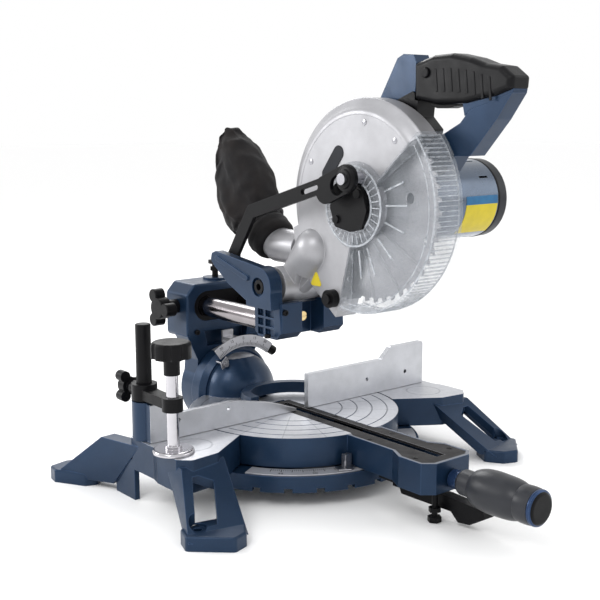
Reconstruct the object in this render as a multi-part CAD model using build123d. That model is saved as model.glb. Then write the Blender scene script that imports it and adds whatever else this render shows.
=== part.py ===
from build123d import *
import math
import os

# Sliding compound mitre saw on its own cast base.
# Millimetres. Origin on the floor, on the turntable's vertical pivot axis.
# +X to the operator's right, +Y away from the operator, +Z up.
# The head is modelled raised and slid fully forward, as it stands when at rest.

# ---- driving dimensions ----
TABLE_Z = 70.0            # height of the work surface
TABLE_R = 125.0           # turntable radius
TABLE_HALF = 213.0        # half width over the side tables
FENCE_Y = -15.0           # front face of the fence
FENCE_T = 7.0
FENCE_BOLT_X = (150.0, 184.0)
FENCE_BOLT_Y = 14.0
BLADE_R = 105.0
BLADE_BORE_R = 15.0
ARBOR_Y = -128.0
ARBOR_Z = 321.0
PIVOT_Y = -12.0           # head hinge
PIVOT_Z = 224.0
RAIL_X = 30.0             # half spacing of the slide rails
RAIL_Z = 178.0
RAIL_R = 12.5
COLUMN_Y = 136.0          # front face of the tilting column
COLUMN_DEPTH = 29.0
DRUM_R = 56.0             # bevel drum on the turntable
MOTOR_R = 45.0
MOTOR_END_X = 186.0
GUARD_R = 118.0           # outside of the clear lower guard
GRIP_X = 30.0             # centre plane of the carrying grip
POST_X = -202.0           # work clamp post
POST_Y = 7.0
POST_R = 8.35
SPINDLE_X = -205.0
SPINDLE_Y = -53.0
HANDLE_Z = 50.0           # mitre handle axis
BOLT_X = 228.0            # bench bolt holes in the feet
BOLT_Y = 130.0
BOLT_HOLE_R = 4.5
FOOT_T = 15.0
LINK_X = -44.5            # inner face of the guard link's layer
ANCHOR_Y = 62.0           # link pin on the carriage tail
ANCHOR_Z = 250.0
CRANK_Y = -140.0          # link screw on the lower guard
CRANK_Z = 351.0
LOCK_Y = -4.0             # head lock pin in the carriage's right ear
LOCK_Z = 198.0
DUCT_X = -2.0             # dust chute behind the upper guard
DUCT_Y = -21.9
DUCT_Z = 264.0
DUCT_R = 20.0
SHAFT_GAP = 0.05
NECK_X = -9.0             # cast neck between the head hinge and the upper guard
NECK_TOP = (-52.0, 267.0)
NECK_R = 25.0
ROLLER = (-91.0, 217.0)   # roller at the foot of the upper guard
MOTOR_OFFSET = 16.0       # armature axis above the blade arbor


# ---- helpers ----
def box(x0, x1, y0, y1, z0, z1):
    return Pos((x0 + x1) / 2, (y0 + y1) / 2, (z0 + z1) / 2) * Box(x1 - x0, y1 - y0, z1 - z0)


def cyl_x(r, x0, x1, y, z):
    return Pos((x0 + x1) / 2, y, z) * Rot(0, 90, 0) * Cylinder(r, x1 - x0)


def cyl_y(r, y0, y1, x, z):
    return Pos(x, (y0 + y1) / 2, z) * Rot(90, 0, 0) * Cylinder(r, y1 - y0)


def cyl_z(r, z0, z1, x, y):
    return Pos(x, y, (z0 + z1) / 2) * Cylinder(r, z1 - z0)


def prism(points, direction):
    outline = Face(Wire.make_polygon([Vector(*p) for p in points], close=True))
    along = Vector(*direction)
    return extrude(outline, amount=along.length, dir=along)


def plate_x(points, x0, x1):
    return prism([(x0, y, z) for y, z in points], (x1 - x0, 0, 0))


def plate_y(points, y0, y1):
    return prism([(x, y0, z) for x, z in points], (0, y1 - y0, 0))


def plate_z(points, z0, z1):
    return prism([(x, y, z0) for x, y in points], (0, 0, z1 - z0))


def frustum(low, low_z, high, high_z):
    bottom = Wire.make_polygon([Vector(x, y, low_z) for x, y in low], close=True)
    top = Wire.make_polygon([Vector(x, y, high_z) for x, y in high], close=True)
    return Part(Solid.make_loft([bottom, top], True).wrapped)


def rod(start, end, r):
    a = Vector(*start)
    b = Vector(*end)
    plane = Plane(origin=a, z_dir=b - a)
    return plane * Pos(0, 0, (b - a).length / 2) * Cylinder(r, (b - a).length)


def cone(start, r_start, end, r_end):
    axis = Vector(*end) - Vector(*start)
    plane = Plane(origin=start, z_dir=axis)
    return plane * Cone(r_start, r_end, axis.length, align=(Align.CENTER, Align.CENTER, Align.MIN))


def slab(start, end, half_width, x0, x1):
    """A flat bar with round ends in a plane of constant X, between two (y, z) points."""
    (ya, za), (yb, zb) = start, end
    run = math.hypot(yb - ya, zb - za)
    ny = -(zb - za) / run * half_width
    nz = (yb - ya) / run * half_width
    corners = [(ya + ny, za + nz), (yb + ny, zb + nz), (yb - ny, zb - nz), (ya - ny, za - nz)]
    return plate_x(corners, x0, x1) + cyl_x(half_width, x0, x1, ya, za) + cyl_x(half_width, x0, x1, yb, zb)


def polar(r, degrees, y0, z0):
    return (y0 + r * math.cos(math.radians(degrees)), z0 + r * math.sin(math.radians(degrees)))


def sector_x(r_in, r_out, start, end, x0, x1, y, z):
    """Part of a ring about an X axis, from start to end degrees, measured from +Y towards +Z."""
    steps = max(2, int(abs(end - start) / 30) + 1)
    reach = r_out * 1.3
    fan = [(y, z)] + [polar(reach, start + (end - start) * i / steps, y, z) for i in range(steps + 1)]
    ring = cyl_x(r_out, x0, x1, y, z)
    if r_in > 0:
        ring = ring - cyl_x(r_in, x0 - 1, x1 + 1, y, z)
    return ring & plate_x(fan, x0, x1)


def mirror_x(shape):
    return mirror(shape, about=Plane.YZ)


def round_upright(shape, radius):
    return fillet(shape.edges().filter_by(Axis.Z), radius)


def group(solids):
    return Compound([s for item in solids for s in item.solids()])


def three_lobe(plane, lobe_r, thickness):
    """A three-armed hand knob lying on a plane."""
    centre = Cylinder(lobe_r * 0.62, thickness)
    knob = fillet(centre.edges().sort_by(Axis.Z)[-1], 1.5)
    lobe = Cylinder(lobe_r * 0.38, thickness)
    lobe = fillet(lobe.edges().sort_by(Axis.Z)[-1], 1.5)
    for angle in (90, 210, 330):
        knob += Rot(0, 0, angle) * Pos(lobe_r * 0.8, 0, 0) * lobe
    return plane * Pos(0, 0, thickness / 2) * knob


# ---- base ----
def side_block():
    outline = [(112, -46), (170, -84), (205, -88), (TABLE_HALF + 4, -76), (TABLE_HALF + 4, -40),
               (TABLE_HALF, -26), (TABLE_HALF, 24), (112, 24)]
    block = plate_z(outline, 35, TABLE_Z)
    corners = block.edges().filter_by(Axis.Z).sort_by(Axis.X)[-6:-2]
    block = fillet(corners, 7)
    inside = [(120, -41), (171, -76), (200, -80), (TABLE_HALF - 5, -70), (TABLE_HALF - 5, 17), (120, 17)]
    block -= plate_z(inside, 30, TABLE_Z - 6)
    block += box(165, 168, -75, 18, 40, TABLE_Z - 3)
    block += box(120, TABLE_HALF - 3, -30, -27, 40, TABLE_Z - 3)
    return block


def front_leg():
    shell = frustum([(247, -142), (187, -158), (181, -136), (236, -116)], 8,
                    [(216, -84), (160, -80), (160, -52), (213, -48)], 62)
    hollow = frustum([(238, -131), (193, -143), (180, -120), (228, -100)], 6,
                     [(207, -75), (168, -72), (160, -40), (207, -40)], 60)
    shell -= hollow
    window = Plane(origin=(212, -120, 36), z_dir=(0.5, -0.86, 0))
    shell -= window * Box(22, 36, 60)
    foot = plate_z([(248, -138), (212, -171), (194, -165), (181, -145), (196, -118), (240, -116)], 0, FOOT_T)
    foot = round_upright(foot, 5)
    foot = fillet(foot.faces().sort_by(Axis.Z)[-1].edges(), 2.5)
    return shell + foot


def rear_leg():
    wing = frustum([(252, 128), (222, 132), (196, 60), (216, 56)], 8,
                   [(226, 62), (208, 64), (194, 6), (213, 4)], 63)
    wing -= frustum([(244, 118), (224, 122), (200, 60), (209, 58)], 2,
                    [(216, 56), (210, 56), (199, 2), (207, 2)], 55)
    foot = plate_z([(254, 123), (251, 140), (228, 146), (205, 138), (208, 96), (220, 84), (234, 88)], 0, FOOT_T)
    foot = round_upright(foot, 4)
    foot = fillet(foot.faces().sort_by(Axis.Z)[-1].edges(), 2.5)
    lug = box(207, TABLE_HALF, 14, 54, 0, 45)
    return wing + foot + lug


def base_ring():
    front = cyl_z(150, 17, 35, 0, 0) & box(-151, 151, -151, 40, 0, 40)
    back = cyl_z(133, 17, 35, 0, 0)
    ring = front + back
    ring -= cyl_z(143, 10, 30, 0, 0) & box(-151, 151, -151, 40, 0, 40)
    ring -= cyl_z(126, 10, 30, 0, 0)
    for i in range(8):
        angle = math.radians(30 * i)
        rib = Pos(66 * math.cos(angle), 66 * math.sin(angle), 27) * Rot(0, 0, 30 * i) * Box(126, 4, 10)
        ring += rib
    ring += cyl_z(26, 17, 35, 0, 0)
    notch_w = 9.0
    for i in range(9):
        degrees = -145 + 13.5 * i
        a = math.radians(degrees)
        ring -= Pos(147 * math.cos(a), 147 * math.sin(a), 18.5) * Rot(0, 0, degrees) * Box(20, notch_w, 6)
    return ring


def base_casting():
    right = side_block() + front_leg() + rear_leg()
    right -= cyl_z(TABLE_R + 2, 35.4, 80, 0, 0)
    right -= cyl_z(148, 34, 36.4, 0, 0)
    casting = right + mirror_x(right) + base_ring()
    for side in (-1, 1):
        rim = box(min(side * 140, side * 125), max(side * 140, side * 125), -30, 20, 17, 36)
        casting += rim - cyl_z(TABLE_R + 2, 35.2, 80, 0, 0)
    casting -= cyl_z(8.05, 0, 60, 0, 0)
    for sx in (-1, 1):
        for sy in (-1, 1):
            casting -= cyl_z(BOLT_HOLE_R, -1, FOOT_T + 1, sx * BOLT_X, sy * BOLT_Y)
            casting -= cyl_z(9, FOOT_T, 60, sx * BOLT_X, sy * BOLT_Y)
        for x in FENCE_BOLT_X:
            casting -= cyl_z(2.5, 40, TABLE_Z + 1, sx * x, FENCE_BOLT_Y)
    return casting


def mitre_scale():
    ring = cyl_z(147, 35, 36.2, 0, 0) - cyl_z(127.5, 34, 38, 0, 0)
    wedge = plate_z([(0, 0), (-210, -120), (-120, -230), (0, -260), (120, -230), (210, -120)], 34, 38)
    keep = wedge - box(-160, 160, -40, 40, 30, 40)
    arc = ring & keep
    return arc - box(110, 160, -60, 0, 30, 40) - box(-160, -110, -60, 0, 30, 40)


def fence_outline_left():
    curve = Spline((-104, FENCE_Y, 98), (-76, FENCE_Y, 93.5), (-40, FENCE_Y, 85), (-8, FENCE_Y, 73.5),
                   tangents=[(1, 0, 0), (1, 0, -0.32)])
    edges = Polyline((-8, FENCE_Y, 73.5), (-8, FENCE_Y, 70.4), (-209, FENCE_Y, 70.4), (-209, FENCE_Y, 112),
                     (-180, FENCE_Y, 112), (-168, FENCE_Y, 98), (-104, FENCE_Y, 98))
    return Face(Wire([curve] + edges.edges()))


def fence():
    left = Part(Solid.extrude(fence_outline_left(), Vector(0, FENCE_T, 0)).wrapped)
    right = plate_y([(10, 70.4), (10, 112), (132, 112), (147, 126), (205, 126), (205, 70.4)],
                    FENCE_Y, FENCE_Y + FENCE_T)
    top_corners = right.edges().filter_by(Axis.Y).sort_by(Axis.Z)[-2:]
    right = fillet(top_corners, 4)
    back = FENCE_Y + FENCE_T
    plates = left + right
    for sx in (-1, 1):
        low, high = sorted((sx * 100, sx * 207))
        plates += box(low, high, back, 22, TABLE_Z + 0.2, 78)
        for x in (120, 172):
            plates += plate_x([(back, 78), (back, 94), (18, 78)], sx * x - 2, sx * x + 2)
    bow_out = cyl_z(62, 74.5, 92, 0, 2) & box(-70, 70, 2, 70, 70, 100)
    bow = bow_out - cyl_z(51, 70, 100, 0, 2)
    for sx in (-1, 1):
        low, high = sorted((sx * 51, sx * 62))
        bow += box(low, high, back, 3, 74.5, 92 if sx > 0 else 84)
        low, high = sorted((sx * 56, sx * 104))
        bow += box(low, high, back, 6, 74.5, 84)
    plates += bow
    plates -= box(-70, 70, 30, 80, 88, 100)
    boss = cyl_z(14, TABLE_Z + 0.2, 113, POST_X, POST_Y) + box(-209, -190, back - 1, 8, TABLE_Z + 0.2, 113)
    plates += boss + mirror_x(boss)
    for sx in (-1, 1):
        plates -= cyl_z(POST_R + SHAFT_GAP, 60, 140, sx * -POST_X, POST_Y)
        for x in (106, 173):
            plates -= cyl_y(2.5, FENCE_Y - 1, back + 1, sx * x, 90)
        for x in FENCE_BOLT_X:
            plates -= cyl_z(2.8, 60, 79, sx * x, FENCE_BOLT_Y)
    return plates


def base_bolts():
    """Fence bolts and the turntable's pivot bolt."""
    bolts = [pivot_bolt()]
    for sx in (-1, 1):
        for x in FENCE_BOLT_X:
            head = cyl_z(5, 78, 82.5, sx * x, FENCE_BOLT_Y) - cyl_z(2, 80, 84, sx * x, FENCE_BOLT_Y)
            bolts.append(head + cyl_z(2.5, 66, 78, sx * x, FENCE_BOLT_Y))
    return group(bolts)


def pivot_bolt():
    head = extrude(Plane.XY.offset(8) * RegularPolygon(11, 6), 8)
    washer = cyl_z(16, 16, 17, 0, 0)
    return head + washer + cyl_z(8, 16, 44, 0, 0)


# ---- turntable ----
def arm_outline(grow=0.0):
    g = grow
    return [(-24 - g, -100), (-24 - g, -193), (-34 - g, -212), (-34 - g, -244), (-22 - g / 2, -254 - g),
            (27 + g / 2, -254 - g), (36 + g, -246), (36 + g, -212), (26 + g, -196), (26 + g, -100)]


def turntable():
    disc = cyl_z(TABLE_R, 37, TABLE_Z, 0, 0)
    disc -= cyl_z(TABLE_R - 6, 36, TABLE_Z - 6, 0, 0)
    arm = plate_z(arm_outline(), 37, TABLE_Z)
    hollow = plate_z([(-18, -60), (-18, -195), (-28, -214), (-28, -240), (-18, -248), (23, -248), (30, -242),
                      (30, -214), (20, -198), (20, -60)], 30, TABLE_Z - 4)
    table = disc + arm - hollow
    table += cyl_z(22, 36.2, TABLE_Z - 3, 0, 0)
    for i in range(6):
        degrees = 30 + 60 * i
        a = math.radians(degrees)
        if i != 4:
            table += Pos(70 * math.cos(a), 70 * math.sin(a), 52) * Rot(0, 0, degrees) * Box(104, 4, 26)
    rear = box(-44, 44, 96, COLUMN_Y - 0.6, 40, TABLE_Z)
    drum = bevel_drum()
    table = table + rear + drum
    table += box(-12, 12, -250, -232, 40, TABLE_Z - 2)
    table -= plate_z(kerf_outline(0.15), TABLE_Z - 3.2, TABLE_Z + 5)
    table -= box(-11, 11, -236, 34, 42, TABLE_Z + 1)
    table -= cyl_z(8 + SHAFT_GAP, 30, 60, 0, 0)
    table += cyl_z(22, 36.2, 45, 0, 0) - cyl_z(8 + SHAFT_GAP, 30, 60, 0, 0)
    for r in (58, 76, 94, 112):
        groove = cyl_z(r + 0.6, TABLE_Z - 0.6, TABLE_Z + 1, 0, 0) - cyl_z(r - 0.6, TABLE_Z - 1, TABLE_Z + 2, 0, 0)
        table -= groove & box(-130, 130, -130, -20, 60, 80)
    table -= cyl_z(3, 38, 42, -6, -238)
    for x, y in kerf_screw_places():
        table -= cyl_z(2, 60, TABLE_Z, x, y)
    table -= cyl_y(7 + SHAFT_GAP, -260, -225, 2, HANDLE_Z)
    table -= cyl_y(8 + SHAFT_GAP, 60, 140, 0, TABLE_Z)
    return table


def bevel_drum():
    """The domed drum that carries the bevel pivot; its axis is the line where blade and table meet."""
    profile = Polyline((0, 68, 0), (0, COLUMN_Y - 0.6, 0), (DRUM_R, COLUMN_Y - 0.6, 0), (DRUM_R, 120, 0),
                       (51, 112, 0), (48, 112, 0))
    dome = Spline((48, 112, 0), (40, 88, 0), (22, 73, 0), (0, 68, 0), tangents=[(0, -1, 0), (-1, 0, 0)])
    face = Face(Wire(profile.edges() + [dome]))
    drum = Part(Solid.revolve(face, 360, Axis.Y).wrapped)
    drum = Pos(0, 0, TABLE_Z) * drum
    drum -= cyl_y(2, 90, 125, -31, 110)
    return drum - box(-80, 80, 60, 140, 0, 40)


def kerf_outline(grow=0.0):
    g = grow
    return [(-17 - g, 30 + g), (-17 - g, -120), (-21.5 - g, -128), (-21.5 - g, -195), (-31 - g, -214),
            (-31 - g, -242), (-21 - g, -250 - g), (25 + g, -250 - g), (33 + g, -244), (33 + g, -214),
            (23.5 + g, -198), (23.5 + g, -128), (17 + g, -120), (17 + g, 30 + g)]


def kerf_plate():
    plate = plate_z(kerf_outline(), TABLE_Z - 3, TABLE_Z - 0.2)
    plate -= box(-4.5, 8, -238, 22, 60, 75)
    for x, y in kerf_screw_places():
        plate -= cyl_z(2.1, 60, 75, x, y)
    return plate


def kerf_screw_places():
    return [(-14, -60), (14, -60), (-16, -150), (17, -150), (-24, -226), (27, -226)]


def kerf_screws():
    screws = []
    for x, y in kerf_screw_places():
        screw = cyl_z(2.8, TABLE_Z - 0.2, TABLE_Z + 0.2, x, y) + cyl_z(2, TABLE_Z - 6, TABLE_Z, x, y)
        screws.append(screw - box(x - 2.4, x + 2.4, y - 0.4, y + 0.4, TABLE_Z - 0.1, TABLE_Z + 1))
    return group(screws)


def mitre_pointer():
    pointer = plate_z([(-44, -124), (-25, -130), (-25, -137), (-36, -143), (-48, -136)], 37, 38.2)
    return pointer + box(-37, -28, -134, -128, 38.2, 52) - cyl_z(1.6, 30, 45, -38, -134)


def support_bolt():
    head = extrude(Pos(-6, -238, 0.5) * RegularPolygon(7.5, 6), 5.5)
    nut = extrude(Pos(-6, -238, 11) * RegularPolygon(6.5, 6), 5)
    return head + cyl_z(3, 5, 42, -6, -238) + nut


def detent_lever():
    arm = plate_x([(-176, 21), (-200, 29), (-262, 27), (-294, 26), (-298, 18), (-278, 6), (-262, 4),
                   (-252, 13), (-200, 12), (-180, 12)], 3, 17)
    arm = fillet(arm.edges().filter_by(Axis.X), 2.0)
    arm += cyl_x(5.5, 3, 17, -186, 27)
    return arm - cyl_x(2 + SHAFT_GAP, 0, 20, -186, 27)


def detent_bracket():
    """Clevis under the arm that carries the detent lever, with its pin."""
    bracket = box(-2, 2.6, -196, -172, 20, 37) + box(17.4, 22, -196, -172, 20, 37)
    bracket += box(-23, 25, -196, -172, 34, 37)
    bracket -= cyl_x(2, -3, 23, -186, 27)
    return group([bracket, cyl_x(2, -2, 22, -186, 27)])


# ---- mitre handle ----
def mitre_handle():
    profile = Polyline((0, -268, 0), (12, -268, 0), (13.5, -271, 0), (13.5, -284, 0), (17, -287, 0))
    barrel = Spline((17, -287, 0), (21.5, -303, 0), (21.5, -325, 0), (17.5, -346, 0),
                    tangents=[(0.6, -1, 0), (-0.5, -1, 0)])
    close = Polyline((17.5, -346, 0), (0, -346, 0), (0, -268, 0))
    face = Face(Wire(profile.edges() + [barrel] + close.edges()))
    body = Pos(2, 0, HANDLE_Z) * Part(Solid.revolve(face, 360, Axis.Y).wrapped)
    return body - cyl_y(7, -300, -260, 2, HANDLE_Z)


def mitre_handle_shaft():
    shaft = cyl_y(7, -300, -228, 2, HANDLE_Z)
    return shaft + (cyl_y(10, -266, -256, 2, HANDLE_Z) - cyl_y(6, -270, -250, 2, HANDLE_Z))


def mitre_handle_cap():
    ring = cyl_y(18, -353, -346, 2, HANDLE_Z)
    cap = cyl_y(17, -368, -353, 2, HANDLE_Z)
    cap = fillet(cap.edges().sort_by(Axis.Y)[0], 4)
    return ring + cap


# ---- tilting column ----
def column():
    neck = plate_y([(-50, 62), (-45, 110), (-60, 142), (60, 142), (45, 110), (50, 62)],
                   COLUMN_Y, COLUMN_Y + COLUMN_DEPTH)
    foot = cyl_y(52, COLUMN_Y, COLUMN_Y + COLUMN_DEPTH, 0, TABLE_Z)
    head = plate_y([(-60, 138), (-60, 194), (-48, 207), (48, 207), (60, 194), (60, 138)],
                   COLUMN_Y, COLUMN_Y + 46)
    head = fillet(head.edges().filter_by(Axis.Y), 7)
    head = fillet(head.faces().sort_by(Axis.Y)[0].edges(), 3)
    body = neck + foot + head
    body += cyl_z(16, 200, 210, 0, 160)
    body -= plate_y([(-30, 126), (-34, 146), (34, 146), (30, 126)], COLUMN_Y - 1, COLUMN_Y + 12)
    body += box(32, 48, 122, COLUMN_Y + 1, 122, 134)
    body -= rod((30, 129, 134.5), (70, 129, 107), 3.2)
    back = plate_y([(-36, 96), (-34, 112), (-48, 140), (48, 140), (34, 112), (36, 96)],
                   COLUMN_Y + 16, COLUMN_Y + 60)
    body -= back
    stadium = box(-RAIL_X, RAIL_X, COLUMN_Y - 1, COLUMN_Y + 6, RAIL_Z - 19, RAIL_Z + 19)
    for sx in (-1, 1):
        stadium += cyl_y(19, COLUMN_Y - 1, COLUMN_Y + 6, sx * RAIL_X, RAIL_Z)
        body -= cyl_y(RAIL_R + 3, 100, 200, sx * RAIL_X, RAIL_Z)
    body -= stadium
    body -= cyl_y(8 + SHAFT_GAP, 120, 180, 0, TABLE_Z)
    body -= cyl_x(5 + SHAFT_GAP, -70, -RAIL_X - RAIL_R + 1, 160, RAIL_Z)
    body -= cyl_z(4 + SHAFT_GAP, 190, 212, 0, 160)
    return body


def rail_bushes():
    bushes = []
    for sx in (-1, 1):
        for y0, y1 in ((142, 152), (170, 182)):
            bushes.append(cyl_y(RAIL_R + 3, y0, y1, sx * RAIL_X, RAIL_Z)
                          - cyl_y(RAIL_R + SHAFT_GAP, y0 - 1, y1 + 1, sx * RAIL_X, RAIL_Z))
    return group(bushes)


def rail_wiper():
    plate = box(-RAIL_X, RAIL_X, COLUMN_Y + 1, COLUMN_Y + 6, RAIL_Z - 18.8, RAIL_Z + 18.8)
    for sx in (-1, 1):
        plate += cyl_y(18.8, COLUMN_Y + 1, COLUMN_Y + 6, sx * RAIL_X, RAIL_Z)
    for sx in (-1, 1):
        plate -= cyl_y(RAIL_R + 0.3, 130, 150, sx * RAIL_X, RAIL_Z)
    return plate


def bevel_bolt():
    """Bevel pivot bolt with its nut behind the column."""
    nut = extrude(Plane(origin=(0, 165.2, TABLE_Z), z_dir=(0, 1, 0)) * RegularPolygon(17, 6), 10)
    nut -= cyl_y(8, 160, 180, 0, TABLE_Z)
    return group([cyl_y(8, 84, 176, 0, TABLE_Z), nut])


def bevel_scale():
    """Bevel scale arc, fixed to the column above the drum."""
    arc = cyl_y(72, 100, 101.6, 0, TABLE_Z) - cyl_y(57.5, 98, 104, 0, TABLE_Z)
    wedge = plate_y([(0, TABLE_Z), (84, TABLE_Z + 100), (-76, TABLE_Z + 100)], 99, 103)
    plate = arc & wedge
    stay = box(-8, 8, 101.6, COLUMN_Y - 0.1, TABLE_Z + 62, TABLE_Z + 66)
    stay += box(-8, 8, COLUMN_Y - 3, COLUMN_Y - 0.1, TABLE_Z + 58, TABLE_Z + 74)
    return plate + stay


def bevel_pointer():
    """Pointer on the drum that reads the bevel scale."""
    pointer = plate_y([(-38, 112), (-30, 119.5), (-26, 113), (-29, 107), (-36, 104)], 95.5, 97)
    screw = cyl_y(3.4, 93, 95.5, -31, 110)
    stem = cyl_y(2, 95, 124, -31, 110)
    return pointer + screw + stem


def bevel_stop():
    """Upright bevel stop: a bolt through a lug on the right of the column."""
    return rod((38, 129, 129), (70, 129, 107), 3.2) + rod((60, 129, 113.9), (70, 129, 107), 6.2)


def bevel_lever():
    hub = cyl_y(15, 176.5, 192, 0, TABLE_Z)
    arm = rod((0, 186, TABLE_Z), (34, 196, TABLE_Z + 4), 6)
    grip = rod((30, 195, TABLE_Z + 3.5), (82, 206, TABLE_Z + 10), 8.5)
    return hub + arm + grip - cyl_y(8 + SHAFT_GAP, 170, 177, 0, TABLE_Z)


def slide_knob():
    shaft = cyl_x(5, -78, -RAIL_X - RAIL_R - 0.6, 160, RAIL_Z)
    collar = cyl_x(9, -76, -60.4, 160, RAIL_Z)
    plane = Plane(origin=(-76, 160, RAIL_Z), z_dir=(-1, 0, 0))
    return shaft + collar + three_lobe(plane, 22, 14)


def rail_stop_screw():
    screw = cyl_z(4, 192, 226, 0, 160)
    nut = extrude(Pos(0, 160, 218) * RegularPolygon(7, 6), 5)
    wing = box(-4, 4, 148, 172, 226, 231)
    return screw + nut + fillet(wing.edges().filter_by(Axis.Z), 3.5)


# ---- carriage ----
def ear(x0, x1):
    side = cyl_x(23, x0, x1, PIVOT_Y, PIVOT_Z)
    side += plate_x([(-34, 226), (11, 226), (9, 170), (3, 164), (-30, 164), (-38, 172)], x0, x1)
    return side


def carriage():
    block = plate_x([(9, 170), (9, 206), (-38, 206), (-38, 172), (-30, 164), (3, 164)], -48, 44)
    body = block + ear(-62, -45) + ear(28, 45)
    body -= box(-64, -50, -50, 20, 160, 200)
    tail = plate_x([(-14, 247), (70, 257), (78, 254), (80, 246), (74, 240), (45, 221), (11, 206)], -62, -51)
    body += fillet(tail.edges().filter_by(Axis.X).sort_by(Axis.Y)[-3:], 3)
    rib = slab((8, 232), (66, 249), 3, -64, -61)
    body += rib
    body -= cyl_x(24, -45, 28, PIVOT_Y, PIVOT_Z)
    body -= box(-18.5, 14.5, -40, -14, 160, 210)
    body -= cyl_y(3, -15, -4, -6, 186)
    body -= box(-60, 60, -50, 20, 230, 260) & box(-45, 28, -50, 20, 200, 260)
    for z0 in (166.5, 177.5, 188.5):
        body -= box(-52, -46, -26, -10, z0, z0 + 8.5)
        body -= box(-52, -46, -7, 4, z0, z0 + 8.5)
    for sx in (-1, 1):
        body -= cyl_y(RAIL_R, -30, 12, sx * RAIL_X, RAIL_Z)
    body -= cyl_x(8 + SHAFT_GAP, -70, 50, PIVOT_Y, PIVOT_Z)
    body -= cyl_x(11, -63, -58, PIVOT_Y, PIVOT_Z)
    body -= cyl_x(4, -60, -40, ANCHOR_Y, ANCHOR_Z)
    body -= cyl_x(4 + SHAFT_GAP, 29, 46, LOCK_Y, LOCK_Z)
    return body


def slide_rails():
    rails = []
    for sx in (-1, 1):
        rails.append(cyl_y(RAIL_R, -30, 196, sx * RAIL_X, RAIL_Z)
                     - cyl_y(RAIL_R - 2.5, -31, 200, sx * RAIL_X, RAIL_Z))
    return group(rails)


def rail_end_plate():
    plate = box(-RAIL_X, RAIL_X, 196, 203, RAIL_Z - 15, RAIL_Z + 15)
    for sx in (-1, 1):
        plate += cyl_y(15, 196, 203, sx * RAIL_X, RAIL_Z)
        plate += cyl_y(RAIL_R - 2.5, 186, 197, sx * RAIL_X, RAIL_Z)
    return plate


def pivot_pin():
    pin = cyl_x(8, -61, 46, PIVOT_Y, PIVOT_Z)
    pin -= cyl_x(4, -62, -50, PIVOT_Y, PIVOT_Z)
    return pin + cyl_x(12, 45.2, 49, PIVOT_Y, PIVOT_Z)


def link_anchor():
    return cyl_x(4, -59, -38.6, ANCHOR_Y, ANCHOR_Z) + cyl_x(7, -38.6, -36, ANCHOR_Y, ANCHOR_Z)


def depth_stop():
    """Brass screw in the carriage's front channel that limits how far the head comes down."""
    screw = cyl_y(3, -22, -4, -6, 186) + cyl_y(5.5, -25, -22, -6, 186)
    return screw - box(-12, 0, -26, -24, 185.3, 186.7)


def lock_pin():
    """Knob on the right that pins the head down for carrying."""
    knob = cyl_x(9, 46, 60, LOCK_Y, LOCK_Z)
    knob = fillet(knob.edges().sort_by(Axis.X)[-1], 2.5)
    return knob + cyl_x(4, 31, 47, LOCK_Y, LOCK_Z)


# ---- head ----
def upper_guard():
    y, z = ARBOR_Y, ARBOR_Z
    skirt = [polar(60, -75, y, z), (-94, 196), (-52, 228), (-30, 262), polar(98, 0, y, z), (y, z)]
    outer = sector_x(0, 113, -62, 138, -8, 13, y, z) + plate_x(skirt, -17, 13)
    outer += sector_x(0, 104, -62, 138, -13, -8, y, z) + sector_x(0, 99, -62, 138, -17, -13, y, z)
    outer += cyl_x(34, -17, 13, y, z)
    inner = sector_x(0, 110, -70, 140, -6, 10.6, y, z) + sector_x(0, 96, -70, 140, -14.6, -6, y, z)
    inner += plate_x([polar(50, -80, y, z), (-90, 190), (-57, 230), (-33, 262), (y, z)], -14.6, 10.6)
    inner += cyl_x(31, -14.6, 10.6, y, z)
    duct = plate_x([(-48, 236), (-22, 240), (-22, 290), (-46, 300)], -17, 13)
    guard = outer + duct - inner
    guard -= cyl_x(24, -20, -14, y, z)
    guard -= cyl_x(14, 10, 14, y, z)
    arm = plate_x([(PIVOT_Y, PIVOT_Z), (PIVOT_Y, 245), (-30, 268), (-50, 275), (-66, 262), (-44, 243),
                   (-26, 236)], 4, 18.4)
    neck = cone((NECK_X, -14, 226), 20, (NECK_X, *NECK_TOP), NECK_R) + Pos(NECK_X, *NECK_TOP) * Sphere(NECK_R)
    arm += neck - plate_x([(-40, 238.8), (-72, 220.4), (-72, 190), (-12, 190)], -40, -18)
    arm += cyl_x(21, -38, 27, PIVOT_Y, PIVOT_Z)
    guard += arm - inner
    guard -= box(-13, 9, -52, -25, 244, 288)
    guard -= box(-13, 9, -26, -10, 252, 284)
    guard -= cyl_x(8 + SHAFT_GAP, -50, 50, PIVOT_Y, PIVOT_Z)
    guard -= cyl_x(118.6, -21, 17, y, z) & (cyl_x(130, -21, 17, y, z) - cyl_x(113.2, -22, 18, y, z)) \
        & plate_x([(y, z), polar(200, 30, y, z), polar(260, 90, y, z), polar(200, 160, y, z)], -21, 17)
    guard -= cyl_y(DUCT_R + 0.2, DUCT_Y, 30, DUCT_X, DUCT_Z)
    return guard - cyl_x(110, -6, 10.6, y, z)


def case_arm():
    """Upper arm of the gear case, where the handle is bolted on."""
    return plate_x([(-112, 392), (-100, 330), (-88, 318), (-94, 296), (-110, 284), (-150, 284), (-186, 330),
                    (-190, 384), (-168, 396)], 18.4, 42)


def gear_case():
    y, z = ARBOR_Y, ARBOR_Z
    case = cyl_x(30, 13.2, 18.2, y, z)
    case += cyl_x(MOTOR_R - 3, 18.2, 44, y, z)
    case += case_arm()
    case -= cyl_x(MOTOR_R - 7, 24, 46, y, z)
    case -= cyl_x(14, 10, 28, y, z)
    link = plate_x([(-50, 275), (-66, 262), (-96, 276), (-118, 290), (-110, 330), (-92, 330)], 18.4, 26)
    case += link - cyl_x(MOTOR_R - 7, 24, 46, y, z)
    return case


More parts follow.
